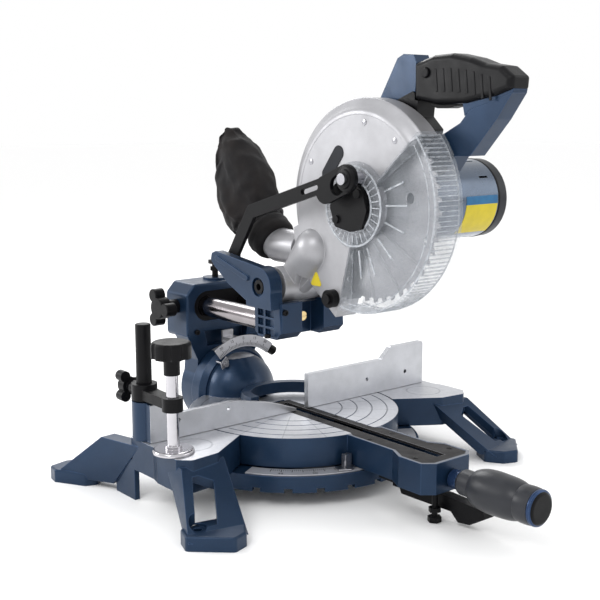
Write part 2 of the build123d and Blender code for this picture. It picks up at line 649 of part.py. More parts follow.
def motor_housing():
    y, z = ARBOR_Y, ARBOR_Z
    shell = cyl_x(MOTOR_R, 44, 160, y, z) - cyl_x(MOTOR_R - 3, 43, 161, y, z)
    shell += cyl_x(MOTOR_R + 1.5, 44, 50, y, z) - cyl_x(MOTOR_R - 3, 43, 52, y, z)
    for i in range(5):
        shell -= Pos(140, y, z) * Rot(36 * i + 18, 0, 0) * Box(14, 3, 200)
    return shell


def motor_cap():
    y, z = ARBOR_Y, ARBOR_Z
    cap = cyl_x(MOTOR_R, 160.8, MOTOR_END_X, y, z)
    cap = chamfer(cap.faces().sort_by(Axis.X)[-1].edges(), 14, 16)
    cap -= cyl_x(MOTOR_R - 4, 160, 168, y, z)
    cap += cyl_x(MOTOR_R - 3.2, 156, 168, y, z) - cyl_x(MOTOR_R - 6, 150, 168, y, z)
    for k in range(-3, 4):
        cap -= box(MOTOR_END_X - 3, MOTOR_END_X + 1, y - 20, y + 20, z + 7 * k - 1.5, z + 7 * k + 1.5)
    return cap


def gear_teeth(r_pitch, count, module, x0, x1, y, z, offset):
    wheel = cyl_x(r_pitch - 1.25 * module, x0, x1, y, z)
    for i in range(count):
        middle = offset + 360.0 * i / count
        half = 360.0 / count * 0.20
        tip = 360.0 / count * 0.10
        points = [polar(r_pitch - 1.5 * module, middle - half * 1.2, y, z), polar(r_pitch, middle - half, y, z),
                  polar(r_pitch + 0.9 * module, middle - tip, y, z),
                  polar(r_pitch + 0.9 * module, middle + tip, y, z), polar(r_pitch, middle + half, y, z),
                  polar(r_pitch - 1.5 * module, middle + half * 1.2, y, z)]
        wheel += plate_x(points, x0, x1)
    return wheel


def arbor_shaft():
    y, z = ARBOR_Y, ARBOR_Z
    shaft = cyl_x(BLADE_BORE_R, -1.2, 1.2, y, z) + cyl_x(8, 1.2, 40, y, z)
    shaft += cyl_x(21, 1.4, 6, y, z)
    shaft += gear_teeth(11, 22, 1.0, 29, 37, y, z, 90.0)
    return shaft - cyl_x(4, -2, 20, y, z)


def armature():
    y, z = ARBOR_Y, ARBOR_Z + MOTOR_OFFSET
    pinion = gear_teeth(5, 10, 1.0, 28, 38, y, z, -90.0 + 18.0)
    shaft = cyl_x(3.4, 38, 166, y, z)
    core = cyl_x(17, 66, 124, y, z)
    for i in range(12):
        a = 30 * i
        py, pz = polar(17, a, y, z)
        core -= cyl_x(1.6, 64, 126, py, pz)
    commutator = cyl_x(10, 134, 148, y, z)
    fan = cyl_x(16, 52, 54, y, z)
    for i in range(9):
        a = 40 * i
        py, pz = polar(11, a, y, z)
        fan += Pos(57, py, pz) * Rot(a, 0, 0) * Box(6, 9, 1.6)
    return pinion + shaft + core + commutator + fan


def field_and_brushes():
    y, z = ARBOR_Y, ARBOR_Z + MOTOR_OFFSET
    ring = cyl_x(24.5, 68, 122, y, z) - cyl_x(18.2, 60, 130, y, z)
    ring += cyl_x(23, 62, 128, y, z) - cyl_x(20, 60, 130, y, z)
    brushes = []
    for side in (-1, 1):
        low, high = sorted((y + side * 10.3, y + side * 24))
        brushes.append(box(137, 145, low, high, z - 3, z + 3))
    return group([ring] + brushes)


def cord_gland():
    """Cord inlet on the motor's underside, with no cord fitted."""
    gland = rod((70, ARBOR_Y + 30, 287.5), (70, ARBOR_Y + 48, 267), 8) - cyl_x(MOTOR_R, 40, 100, ARBOR_Y, ARBOR_Z)
    return gland - rod((70, ARBOR_Y + 40, 276), (70, ARBOR_Y + 50, 264.7), 4)


def bearings():
    y, z = ARBOR_Y, ARBOR_Z
    front = cyl_x(14, 18.4, 27.5, y, z) - cyl_x(8 + SHAFT_GAP, 15, 30, y, z)
    rear = cyl_x(9, 152, 160, y, z + MOTOR_OFFSET) - cyl_x(3.4 + SHAFT_GAP, 150, 162, y, z + MOTOR_OFFSET)
    middle = cyl_x(9, 44.5, 50, y, z + MOTOR_OFFSET) - cyl_x(3.4 + SHAFT_GAP, 40, 60, y, z + MOTOR_OFFSET)
    return group([front, rear, middle])


def bearing_plates():
    y, z = ARBOR_Y, ARBOR_Z
    plates = []
    for x0, x1 in ((44.5, 50), (152, 156)):
        plate = cyl_x(MOTOR_R - 3.1, x0, x1, y, z) - cyl_x(9, 40, 170, y, z + MOTOR_OFFSET)
        for i in range(6):
            py, pz = polar(28, 60 * i + 30, y, z)
            plate -= cyl_x(5, 40, 170, py, pz)
        plates.append(plate)
    return group(plates)


def saw_blade():
    y, z = ARBOR_Y, ARBOR_Z
    disc = cyl_x(BLADE_R - 5, -0.9, 0.9, y, z)
    count = 48
    pitch = 360.0 / count
    for i in range(count):
        a = pitch * i
        tooth = [polar(BLADE_R - 8, a - pitch * 0.3, y, z), polar(BLADE_R - 1.5, a - pitch * 0.05, y, z),
                 polar(BLADE_R, a + pitch * 0.3, y, z), polar(BLADE_R - 8, a + pitch * 0.3, y, z)]
        disc += plate_x(tooth, -0.9, 0.9)
    for i in range(4):
        py, pz = polar(BLADE_R - 16, 90 * i + 20, y, z)
        disc -= cyl_x(3, -2, 2, py, pz)
    for i in range(3):
        py, pz = polar(62, 120 * i + 50, y, z)
        disc -= cyl_x(6, -2, 2, py, pz)
    return disc - cyl_x(BLADE_BORE_R, -2, 2, y, z)


def blade_flange():
    y, z = ARBOR_Y, ARBOR_Z
    return cyl_x(21, -6, -1.4, y, z) - cyl_x(4.05, -8, 0, y, z)


def arbor_bolt():
    head = extrude(Plane(origin=(-6.2, ARBOR_Y, ARBOR_Z), z_dir=(-1, 0, 0)) * RegularPolygon(8, 6), 6)
    return head + cyl_x(4, -7, 16, ARBOR_Y, ARBOR_Z) + cyl_x(11, -7.6, -6.1, ARBOR_Y, ARBOR_Z)


def lower_guard():
    """Clear guard: two side walls and a ribbed rim, turning about the arbor."""
    y, z = ARBOR_Y, ARBOR_Z
    start, end = 138, 283
    rim = sector_x(115.2, GUARD_R, start, end, -20, 16.6, y, z)
    left = sector_x(0, GUARD_R, start, end, -20, -18, y, z) + cyl_x(47, -20, -18, y, z)
    right = sector_x(0, GUARD_R, start, end, 14.6, 16.6, y, z) + cyl_x(40, 14.6, 16.6, y, z)
    guard = rim + left + right
    guard -= cyl_x(31, 10, 20, y, z)
    guard -= cyl_x(22.5, -24, -12, y, z)
    hub = cyl_x(44, -24, -20, y, z) - cyl_x(26, -26, -15, y, z)
    for i in range(16):
        py, pz = polar(35, 22.5 * i, y, z)
        hub -= Pos(-22.5, py, pz) * Rot(22.5 * i, 0, 0) * Box(3.2, 11, 4)
    guard += hub
    for i in range(7):
        degrees = start + 8 + i * 21
        a = math.radians(degrees)
        guard += Pos(-20.6, y + 80 * math.cos(a), z + 80 * math.sin(a)) * Rot(degrees, 0, 0) * Box(1.8, 66, 2)
    return guard - cyl_x(3, -30, -15, CRANK_Y, CRANK_Z)


def link_screw():
    stud = cyl_x(3, LINK_X - 2.5, -19, CRANK_Y, CRANK_Z) + cyl_x(9, LINK_X - 4.5, LINK_X - 2.5, CRANK_Y, CRANK_Z)
    head = cyl_x(6, LINK_X - 8, LINK_X - 4.5, CRANK_Y, CRANK_Z)
    post = cyl_x(7, -38.5, -24, CRANK_Y, CRANK_Z)
    return stud + head + post


def guard_link():
    x0, x1 = LINK_X, LINK_X + 5.0
    bend = (24, 306)
    near = (-106, 344)
    bar = slab((ANCHOR_Y, ANCHOR_Z), bend, 8, x0, x1) + slab(bend, near, 8, x0, x1)
    bar += slab((-106, 338), (CRANK_Y + 2, CRANK_Z), 15, x0, x1)
    slot = slab((-125, 343), (CRANK_Y + 2, CRANK_Z), 10.2, x0 - 1, x1 + 1)
    window = slab((-92, 340), (-70, 333.5), 3, x0 - 1, x1 + 1)
    return bar - slot - window - cyl_x(4 + SHAFT_GAP, -60, -30, ANCHOR_Y, ANCHOR_Z)


def arbor_cover():
    """Black cover over the arbor bolt, carried on the lower guard's hub."""
    y, z = ARBOR_Y, ARBOR_Z
    disc = cyl_x(22, -28, -17.6, y, z) - cyl_x(19, -26, -10, y, z)
    ears = plate_x([(-128, 294), (-104, 298), (-96, 318), (-102, 342), (-118, 352), (-146, 339),
                    (-153, 318), (-146, 298)], -28, -24)
    plate = disc + (fillet(ears.edges().filter_by(Axis.X), 4) - cyl_x(19, -26, -10, y, z))
    screws = [cyl_x(r, -30.5, -28, sy, sz) for r, sy, sz in ((5, -114, 342), (5, -140, 335), (4.5, -107, 306))]
    return group([plate] + screws)


def guard_roller():
    """Roller at the foot of the upper guard, on its screw."""
    roller = cyl_x(10, -26, -17.2, *ROLLER) - cyl_x(4, -28, -15, *ROLLER)
    screw = cyl_x(4, -28, -17, *ROLLER) + cyl_x(6, -30, -26.2, *ROLLER)
    return group([roller, screw])


def dust_port():
    """Chute mouth behind the upper guard and its elbow."""
    bend = (DUCT_X, 22, DUCT_Z)
    mouth = (DUCT_X, 44, 276)
    pipe = cyl_y(DUCT_R, DUCT_Y, 22, DUCT_X, DUCT_Z) + rod(bend, mouth, DUCT_R) + Pos(*bend) * Sphere(DUCT_R)
    inner_r = DUCT_R - 3.5
    hollow = cyl_y(inner_r, DUCT_Y - 1, 22, DUCT_X, DUCT_Z) + rod(bend, (DUCT_X, 46, 277.1), inner_r)
    hollow += Pos(*bend) * Sphere(inner_r)
    collar = rod((DUCT_X, 36, 271.6), (DUCT_X, 45, 276.5), 23)
    collar -= rod((DUCT_X, 30, 268.4), (DUCT_X, 50, 279.3), DUCT_R - 0.1)
    return pipe - hollow + collar


def dust_bag():
    """Soft bag: a closed solid of its outer shape."""
    stations = [((-2, 52, 282), 20, 20, 0), ((-2, 68, 298), 33, 30, -38), ((-2, 92, 332), 36, 41, -55),
                ((-2, 112, 366), 31, 36, -60), ((-2, 120, 394), 14, 17, -64)]
    wires = []
    for (x, y, z), half_x, half_y, tilt in stations:
        plane = Plane(origin=(x, y, z), x_dir=(1, 0, 0), z_dir=(0, math.cos(math.radians(45 - tilt * 0.4)),
                                                                math.sin(math.radians(45 - tilt * 0.4))))
        wires.append((plane * Ellipse(half_x, half_y)).wire())
    return Part(Solid.make_loft(wires, False).wrapped)


# ---- D handle ----
def handle_frame():
    """Painted frame of the D handle: the rear post and the front bar, joined below the opening."""
    x0, x1 = GRIP_X - 10, GRIP_X + 12
    post = plate_x([(-106, 392), (-110, 414), (-147, 474), (-156, 478), (-170, 477), (-176, 466),
                    (-172, 428), (-168, 404), (-176, 394), (-170, 384), (-130, 380)], x0, x1)
    bar = plate_x([(-165, 396), (-165, 388), (-198, 380), (-218, 375), (-250, 376), (-282, 412), (-300, 437),
                   (-282, 431), (-248, 421), (-236, 408), (-214, 397), (-196, 392)], x0, x1)
    foot = plate_x([(-168, 394), (-196, 388), (-232, 378), (-216, 356), (-176, 356), (-160, 380)], x0, x1)
    frame = post + bar + foot
    frame -= cyl_x(MOTOR_R + 1.6, 10, 60, ARBOR_Y, ARBOR_Z)
    frame -= case_arm()
    return frame - grip_blank()


def grip():
    """Black moulded grip along the top of the D, and the inner cover of the post."""
    x0, x1 = GRIP_X - 14, GRIP_X + 16
    top = grip_blank()
    top = fillet(top.edges().filter_by(Axis.X), 3)
    sides = top.faces().sort_by(Axis.X)
    top = fillet(sides[0].edges() + sides[-1].edges(), 6)
    top -= box(GRIP_X - 7, GRIP_X + 9, -232, -188, 420, 445)
    top -= cyl_x(5.3, x0 - 1, x0 + 12, -192, 458)
    return group([top, post_cover()])


def grip_blank():
    return plate_x([(-174, 468), (-200, 475), (-225, 476), (-250, 471), (-268, 465), (-288, 462),
                    (-302, 452), (-301, 440), (-282, 434), (-244, 427), (-205, 426), (-175, 431)],
                   GRIP_X - 14, GRIP_X + 16)


def post_cover():
    cover = plate_x([(-130, 424), (-120, 410), (-132, 396), (-165, 392), (-190, 394), (-192, 401), (-178, 414),
                     (-180, 433), (-172, 440)], GRIP_X - 12, GRIP_X + 14)
    return fillet(cover.edges().filter_by(Axis.X), 1.5) - case_arm() - handle_frame() - grip_blank()


def trigger():
    blade = plate_x([(-192, 440), (-192, 425), (-202, 422.5), (-216, 422.5), (-228, 425), (-229, 431), (-222, 437)],
                    GRIP_X - 6.5, GRIP_X + 8.5)
    return fillet(blade.edges().filter_by(Axis.X), 1.5)


def lock_off_button():
    return fillet(cyl_x(5, GRIP_X - 16.5, GRIP_X - 6, -192, 458).edges().sort_by(Axis.X)[0], 1)


# ---- work clamp ----
def clamp_post():
    return fillet(cyl_z(POST_R, TABLE_Z + 1, 197, POST_X, POST_Y).edges().sort_by(Axis.Z)[-1], 1.5)


def clamp_arm():
    web = frustum([(POST_X - 9, POST_Y), (POST_X + 9, POST_Y), (SPINDLE_X + 7, SPINDLE_Y), (SPINDLE_X - 7, SPINDLE_Y)],
                  116, [(POST_X - 9, POST_Y), (POST_X + 9, POST_Y), (SPINDLE_X + 7, SPINDLE_Y),
                        (SPINDLE_X - 7, SPINDLE_Y)], 127)
    arm = web + cyl_z(14, 114.5, 132, POST_X, POST_Y) + cyl_z(11, 114.5, 129, SPINDLE_X, SPINDLE_Y)
    arm += cyl_y(8, POST_Y + 8, POST_Y + 20, POST_X, 123)
    arm -= cyl_z(POST_R + SHAFT_GAP, 110, 140, POST_X, POST_Y)
    arm -= cyl_z(6.5 + SHAFT_GAP, 110, 140, SPINDLE_X, SPINDLE_Y)
    return arm - cyl_y(3 + SHAFT_GAP, POST_Y + 5, POST_Y + 22, POST_X, 123)


def clamp_lock_knob():
    shaft = cyl_y(3, POST_Y + POST_R + 0.4, POST_Y + 26, POST_X, 123)
    shaft += cyl_y(5.5, POST_Y + 20.4, POST_Y + 30, POST_X, 123)
    plane = Plane(origin=(POST_X, POST_Y + 28, 123), z_dir=(0, 1, 0))
    return shaft + three_lobe(plane, 16, 13)


def clamp_spindle():
    """Plain rod and the swivel pad on its end."""
    screw = cyl_z(6.5, 76, 166, SPINDLE_X, SPINDLE_Y) + cyl_z(3.5, 72, 76, SPINDLE_X, SPINDLE_Y)
    return group([screw, clamp_pad()])


def clamp_pad():
    pad = cyl_z(22, TABLE_Z + 0.3, 74.5, SPINDLE_X, SPINDLE_Y)
    pad = fillet(pad.edges().sort_by(Axis.Z)[-1], 3)
    pad += cyl_z(9, 74, 78, SPINDLE_X, SPINDLE_Y)
    return pad - cyl_z(3.5, 72, 76, SPINDLE_X, SPINDLE_Y) - cyl_z(6.5, 76, 80, SPINDLE_X, SPINDLE_Y)


def clamp_knob():
    knob = cyl_z(21, 171, 188, SPINDLE_X, SPINDLE_Y)
    knob = fillet(knob.edges().sort_by(Axis.Z)[-1], 4)
    for i in range(7):
        a = math.radians(360 / 7 * i + 20)
        knob -= cyl_z(6, 169, 191, SPINDLE_X + 24.5 * math.cos(a), SPINDLE_Y + 24.5 * math.sin(a))
    sleeve = cyl_z(8.5, 153, 171, SPINDLE_X, SPINDLE_Y)
    return knob + sleeve - cyl_z(6.5, 150, 166, SPINDLE_X, SPINDLE_Y)


NODES = [
    base_casting, mitre_scale, fence, base_bolts,
    turntable, kerf_plate, kerf_screws, mitre_pointer, support_bolt, detent_bracket, detent_lever,
    bevel_pointer, bevel_bolt, mitre_handle, mitre_handle_shaft, mitre_handle_cap,
    column, rail_bushes, rail_wiper, bevel_scale, bevel_stop, bevel_lever, slide_knob, rail_stop_screw,
    carriage, slide_rails, rail_end_plate, pivot_pin, link_anchor, depth_stop, lock_pin,
    upper_guard, gear_case, motor_housing, motor_cap, arbor_shaft, armature, field_and_brushes,
    cord_gland, bearings, bearing_plates, saw_blade, blade_flange, arbor_bolt,
    lower_guard, link_screw, guard_link, arbor_cover, guard_roller,
    handle_frame, grip, trigger, lock_off_button, dust_port, dust_bag,
    clamp_post, clamp_arm, clamp_lock_knob, clamp_spindle, clamp_knob,
]

os.makedirs("parts", exist_ok=True)
for make in NODES:
    export_step(make(), f"parts/{make.__name__}.step")
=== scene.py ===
import math

import bmesh
import bpy
from mathutils import Matrix, Vector, noise


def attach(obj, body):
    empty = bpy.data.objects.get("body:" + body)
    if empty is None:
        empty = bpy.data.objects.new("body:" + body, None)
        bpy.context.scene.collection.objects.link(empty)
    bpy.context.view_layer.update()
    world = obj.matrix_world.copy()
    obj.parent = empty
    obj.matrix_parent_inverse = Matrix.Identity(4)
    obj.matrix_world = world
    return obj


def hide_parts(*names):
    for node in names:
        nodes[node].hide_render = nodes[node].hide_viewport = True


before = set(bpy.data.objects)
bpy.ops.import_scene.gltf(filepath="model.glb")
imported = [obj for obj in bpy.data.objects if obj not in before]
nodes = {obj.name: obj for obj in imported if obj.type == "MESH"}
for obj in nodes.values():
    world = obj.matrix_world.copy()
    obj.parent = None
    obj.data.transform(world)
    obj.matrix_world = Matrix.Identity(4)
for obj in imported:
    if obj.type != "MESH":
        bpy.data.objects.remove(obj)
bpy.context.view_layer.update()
MM = 0.001
UNIT_X, UNIT_Y, UNIT_Z = (1, 0, 0), (0, 1, 0), (0, 0, 1)

# Places on the CAD part that the looks follow: TABLE_TOP in metres, the others in millimetres.
# ARBOR is the y and z of the blade's axis, BAG_AXIS those of the direction from port to tip.
TABLE_TOP = 0.070
MITRE_SCALE_FACE = 36.22
BEVEL_AXIS_Z = 70
BEVEL_SCALE_FACE = 99.97
ARBOR = (-128.0, 321.0)
GUARD_LEFT_FACE = -17.0
MOTOR_RADIUS = 45.0
HANDLE_START = (2, -300, 50)
BAG_MIDDLE_X = -2.0
BAG_AXIS = (0.6, 0.8)


# ---------------------------------------------------------------- camera, light, floor
def aim(obj, target):
    """Turns a light so that it shines at a point."""
    obj.rotation_mode = "QUATERNION"
    obj.rotation_quaternion = (Vector(target) - obj.location).to_track_quat("-Z", "Y")


CAMERA_PLACE = (-0.7805, -0.9546, 0.418)
CAMERA_DIRECTION = (0.628, 0.7585, -0.1736)
CAMERA_SENSOR = 36
CAMERA_LENS = 63.7
CLEAR_BOUNCES = 32
WORLD_STRENGTH = 1.0
FLOOR_HALF_SIZE = 12.0
FLOOR_COLOUR = (0.995, 0.995, 0.995, 1)
FLOOR_ROUGHNESS = 0.7

LIGHTS = (
    # name, place, what it points at, size, watts
    ("key", (-1.5, -0.6, 1.7), (0, 0, 0.2), 0.8, 13),
    ("fill", (1.4, -1.5, 1.1), (0, -0.1, 0.2), 1.2, 6),
    ("rim", (0.7, 1.6, 1.6), (0, 0, 0.25), 1.0, 18),
    ("strip", (-1.0, 1.0, 0.7), (0, 0.1, 0.25), 0.5, 8),
)


def studio():
    """One camera, four soft area lights, a white world and a plain pale floor."""
    scene = bpy.context.scene
    scene.view_settings.view_transform = "Standard"
    scene.cycles.transparent_max_bounces = CLEAR_BOUNCES

    camera_data = bpy.data.cameras.new("camera")
    camera = bpy.data.objects.new("camera", camera_data)
    scene.collection.objects.link(camera)
    camera.location = CAMERA_PLACE
    camera.rotation_mode = "QUATERNION"
    camera.rotation_quaternion = Vector(CAMERA_DIRECTION).to_track_quat("-Z", "Y")
    camera_data.sensor_width = CAMERA_SENSOR
    camera_data.lens = CAMERA_LENS
    scene.camera = camera

    world = bpy.data.worlds.new("studio")
    world.use_nodes = True
    background = world.node_tree.nodes["Background"]
    background.inputs["Color"].default_value = (1, 1, 1, 1)
    background.inputs["Strength"].default_value = WORLD_STRENGTH
    scene.world = world

    for name, place, target, size, watts in LIGHTS:
        data = bpy.data.lights.new(name, "AREA")
        data.size = size
        data.energy = watts
        light = bpy.data.objects.new(name, data)
        scene.collection.objects.link(light)
        light.location = place
        aim(light, target)

    mesh = bpy.data.meshes.new("floor")
    edge = FLOOR_HALF_SIZE
    corners = [(-edge, -edge, 0), (edge, -edge, 0), (edge, edge, 0), (-edge, edge, 0)]
    mesh.from_pydata(corners, [], [(0, 1, 2, 3)])
    floor = bpy.data.objects.new("floor", mesh)
    scene.collection.objects.link(floor)
    mat = bpy.data.materials.new("floor_paper")
    mat.use_nodes = True
    bsdf = mat.node_tree.nodes["Principled BSDF"]
    bsdf.inputs["Base Color"].default_value = FLOOR_COLOUR
    bsdf.inputs["Roughness"].default_value = FLOOR_ROUGHNESS
    mesh.materials.append(mat)


# ---------------------------------------------------------------- shader helpers
class Shader:
    """A material under construction, with short calls for the nodes used here."""

    def __init__(self, name):
        self.mat = bpy.data.materials.new(name)
        self.mat.use_nodes = True
        self.tree = self.mat.node_tree
        self.bsdf = self.tree.nodes["Principled BSDF"]
        self.coord = self.tree.nodes.new("ShaderNodeTexCoord")
        self.place = self.coord.outputs["Object"]

    def node(self, kind, inputs=None, **settings):
        made = self.tree.nodes.new(kind)
        for key, value in settings.items():
            setattr(made, key, value)
        for key, value in (inputs or {}).items():
            if isinstance(value, bpy.types.NodeSocket):
                self.tree.links.new(value, made.inputs[key])
            else:
                made.inputs[key].default_value = value
        return made

    def set(self, **values):
        for key, value in values.items():
            socket = self.bsdf.inputs[key.replace("_", " ")]
            if isinstance(value, bpy.types.NodeSocket):
                self.tree.links.new(value, socket)
            elif isinstance(value, tuple):
                socket.default_value = (*value, 1.0)
            else:
                socket.default_value = value

    def math(self, operation, a, b=0.0):
        made = self.tree.nodes.new("ShaderNodeMath")
        made.operation = operation
        for i, value in enumerate((a, b)):
            if isinstance(value, bpy.types.NodeSocket):
                self.tree.links.new(value, made.inputs[i])
            else:
                made.inputs[i].default_value = value
        return made.outputs[0]

    def noise(self, scale, detail=4.0, roughness=0.55, vector=None):
        made = self.node("ShaderNodeTexNoise", {"Vector": vector or self.place, "Scale": scale,
                                                "Detail": detail, "Roughness": roughness})
        return made.outputs["Fac"]

    def remap(self, value, low, high, out_low, out_high):
        made = self.node("ShaderNodeMapRange", {0: value, 1: low, 2: high, 3: out_low, 4: out_high})
        return made.outputs[0]

    def mix(self, factor, a, b):
        made = self.tree.nodes.new("ShaderNodeMix")
        made.data_type = "RGBA"
        for key, value in ((0, factor), (6, a), (7, b)):
            if isinstance(value, bpy.types.NodeSocket):
                self.tree.links.new(value, made.inputs[key])
            else:
                made.inputs[key].default_value = (*value, 1.0) if isinstance(value, tuple) else value
        return made.outputs[2]

    def cloud(self, scale, detail=4.0, low=0.3, high=0.7, out_low=0.0, out_high=1.0):
        """Noise stretched over a range."""
        return self.remap(self.noise(scale, detail), low, high, out_low, out_high)

    def wave(self, distance, pitch):
        """A sine along a distance, from -1 to 1."""
        return self.math("SINE", self.math("MULTIPLY", distance, 2 * math.pi / pitch))

    def length(self, a, b):
        """The distance from the origin of two coordinates."""
        squares = self.math("ADD", self.math("MULTIPLY", a, a), self.math("MULTIPLY", b, b))
        return self.math("SQRT", squares)

    def band(self, value, middle, half_width):
        """1 where a value is near a middle, 0 elsewhere."""
        return self.math("LESS_THAN", self.math("ABSOLUTE", self.math("SUBTRACT", value, middle)), half_width)

    def base_colour(self):
        """The socket that feeds the base colour so far."""
        return self.bsdf.inputs["Base Color"].links[0].from_socket

    def axes(self):
        made = self.node("ShaderNodeSeparateXYZ", {0: self.place})
        return made.outputs[0], made.outputs[1], made.outputs[2]

    def normals(self):
        made = self.node("ShaderNodeSeparateXYZ", {0: self.coord.outputs["Normal"]})
        return made.outputs[0], made.outputs[1], made.outputs[2]

    def edges(self, radius=0.0012):
        """A mask, 1 along convex and concave edges and 0 on open faces, and the rounded normal."""
        rounded = self.node("ShaderNodeBevel", {"Radius": radius}, samples=4)
        geometry = self.tree.nodes.new("ShaderNodeNewGeometry")
        dot = self.node("ShaderNodeVectorMath", {0: rounded.outputs[0], 1: geometry.outputs["Normal"]},
                        operation="DOT_PRODUCT")
        mask = self.remap(dot.outputs["Value"], 0.995, 0.86, 0.0, 1.0)
        return mask, rounded.outputs[0]

    def bump(self, height, strength, distance=0.0004, normal=None):
        inputs = {"Height": height, "Strength": strength, "Distance": distance}
        if normal is not None:
            inputs["Normal"] = normal
        self.set(Normal=self.node("ShaderNodeBump", inputs).outputs[0])


PAINT_METALLIC = 0.45


def painted(name, colour, light, metallic=PAINT_METALLIC, roughness=0.36, grain=900.0, strength=0.12,
            coat=0.12):
    """Sprayed paint: fine orange peel, slow colour drift, and a painted highlight along the edges."""
    s = Shader(name)
    edge, rounded = s.edges()
    drift = s.cloud(16.0)
    fleck = s.cloud(3500.0, 1.0, 0.45, 0.75, 0.0, 0.2)
    deep = tuple(c * 0.72 for c in colour)
    base = s.mix(drift, deep, colour)
    base = s.mix(fleck, base, light)
    # Painted highlight: the edges are mixed towards the paler colour.
    base = s.mix(s.math("MULTIPLY", edge, 0.55), base, light)
    s.set(Base_Color=base, Metallic=metallic, Specular_IOR_Level=0.3)
    s.set(Coat_Weight=coat, Coat_Roughness=0.12)
    s.set(Roughness=s.cloud(60.0, out_low=roughness - 0.05, out_high=roughness + 0.08))
    s.bump(s.noise(grain, 3.0), strength, normal=rounded)
    return s


def machined_on_top(s, margin):
    """A mask of the faces that point up at the height of the table, where the metal is bare."""
    _, _, nz = s.normals()
    _, _, z = s.axes()
    up = s.math("GREATER_THAN", nz, 0.9)
    high = s.math("GREATER_THAN", z, TABLE_TOP - margin)
    return s.math("MULTIPLY", up, high)


def bare_where(s, mask, colour):
    """Mixes bare metal into paint, 1 in the mask being metal."""
    s.set(Base_Color=s.mix(mask, s.base_colour(), colour))
    s.set(Metallic=s.remap(mask, 0.0, 1.0, PAINT_METALLIC, 0.85))


BRUSHED = {"x": (40.0, 1400.0, 1400.0), "y": (1400.0, 40.0, 1400.0)}


def metal(name, colour, roughness=0.3, brushed=None, grain=1500.0, strength=0.08, metallic=1.0):
    """Bare or plated metal, brushed along an axis if one is given, with a painted highlight along its edges.
    """
    s = Shader(name)
    edge, rounded = s.edges(0.0007)
    if brushed:
        mapped = s.node("ShaderNodeMapping", {"Vector": s.place, "Scale": BRUSHED[brushed]})
        lines = s.noise(1.0, 3.0, 0.6, mapped.outputs[0])
    else:
        lines = s.noise(grain, 3.0)
    base = s.mix(s.cloud(35.0), tuple(c * 0.82 for c in colour), colour)
    # Painted highlight: the edges are mixed towards a near-white grey.
    base = s.mix(s.math("MULTIPLY", edge, 0.4), base, (0.9, 0.9, 0.92))
    s.set(Base_Color=base, Metallic=metallic)
    s.set(Roughness=s.remap(lines, 0.25, 0.75, max(0.03, roughness - 0.08), roughness + 0.1))
    s.bump(lines, strength, 0.0002, rounded)
    return s


def moulded(name, colour, roughness=0.5, grain=1400.0, strength=0.25, gloss=0.13, light=None):
    """Moulded plastic or rubber with a fine spark-eroded grain and a painted highlight along its edges."""
    s = Shader(name)
    edge, rounded = s.edges(0.001)
    drift = s.cloud(22.0)
    # paler is the colour of the painted highlight along the edges: the light colour if one is given, else a
    # brighter version of the plastic's colour.
    paler = light or tuple(min(1.0, c * 1.8 + 0.012) for c in colour)
    base = s.mix(drift, colour, tuple(c * 0.78 for c in colour))
    base = s.mix(s.math("MULTIPLY", edge, 0.7), base, paler)
    s.set(Base_Color=base, Specular_IOR_Level=gloss)
    s.set(Roughness=s.cloud(80.0, out_low=roughness - 0.06, out_high=roughness + 0.08))
    s.bump(s.noise(grain, 2.0), strength, 0.0003, rounded)
    return s


NAVY = (0.008, 0.027, 0.064)
# NAVY_LIGHT is the paler navy used for flecks in the paint and for the painted highlight along edges.
NAVY_LIGHT = (0.055, 0.11, 0.23)
BRIGHT = (0.50, 0.51, 0.54)
GRAIN_LIGHT = (0.66, 0.66, 0.69)


def base_material():
    """Navy casting with machined side tables that show round tool marks."""
    s = painted("navy_base", NAVY, NAVY_LIGHT)
    mask = machined_on_top(s, 0.0006)
    x, y, _ = s.axes()
    mark_x, mark_y, mark_radius, mark_half_width, tool_pitch = 0.176, -0.045, 0.021, 0.0012, 0.0022
    dx = s.math("SUBTRACT", s.math("ABSOLUTE", x), mark_x)
    dy = s.math("SUBTRACT", y, mark_y)
    r = s.length(dx, dy)
    tooling = s.remap(s.wave(r, tool_pitch), -1.0, 1.0, 0.0, 0.35)
    ring = s.band(r, mark_radius, mark_half_width)
    metal_colour = s.mix(tooling, BRIGHT, (0.42, 0.43, 0.46))
    metal_colour = s.mix(s.math("MULTIPLY", ring, 0.6), metal_colour, (0.2, 0.21, 0.24))
    grain = s.cloud(220.0, 4.0, 0.35, 0.65, 0.0, 0.35)
    bare_where(s, mask, s.mix(grain, metal_colour, GRAIN_LIGHT))
    return s.mat


ARC_RADII = (0.058, 0.076, 0.094, 0.112)
RAY_DEGREES = (-112.5, -135.0, -157.5, -67.5, -45.0, -22.5)


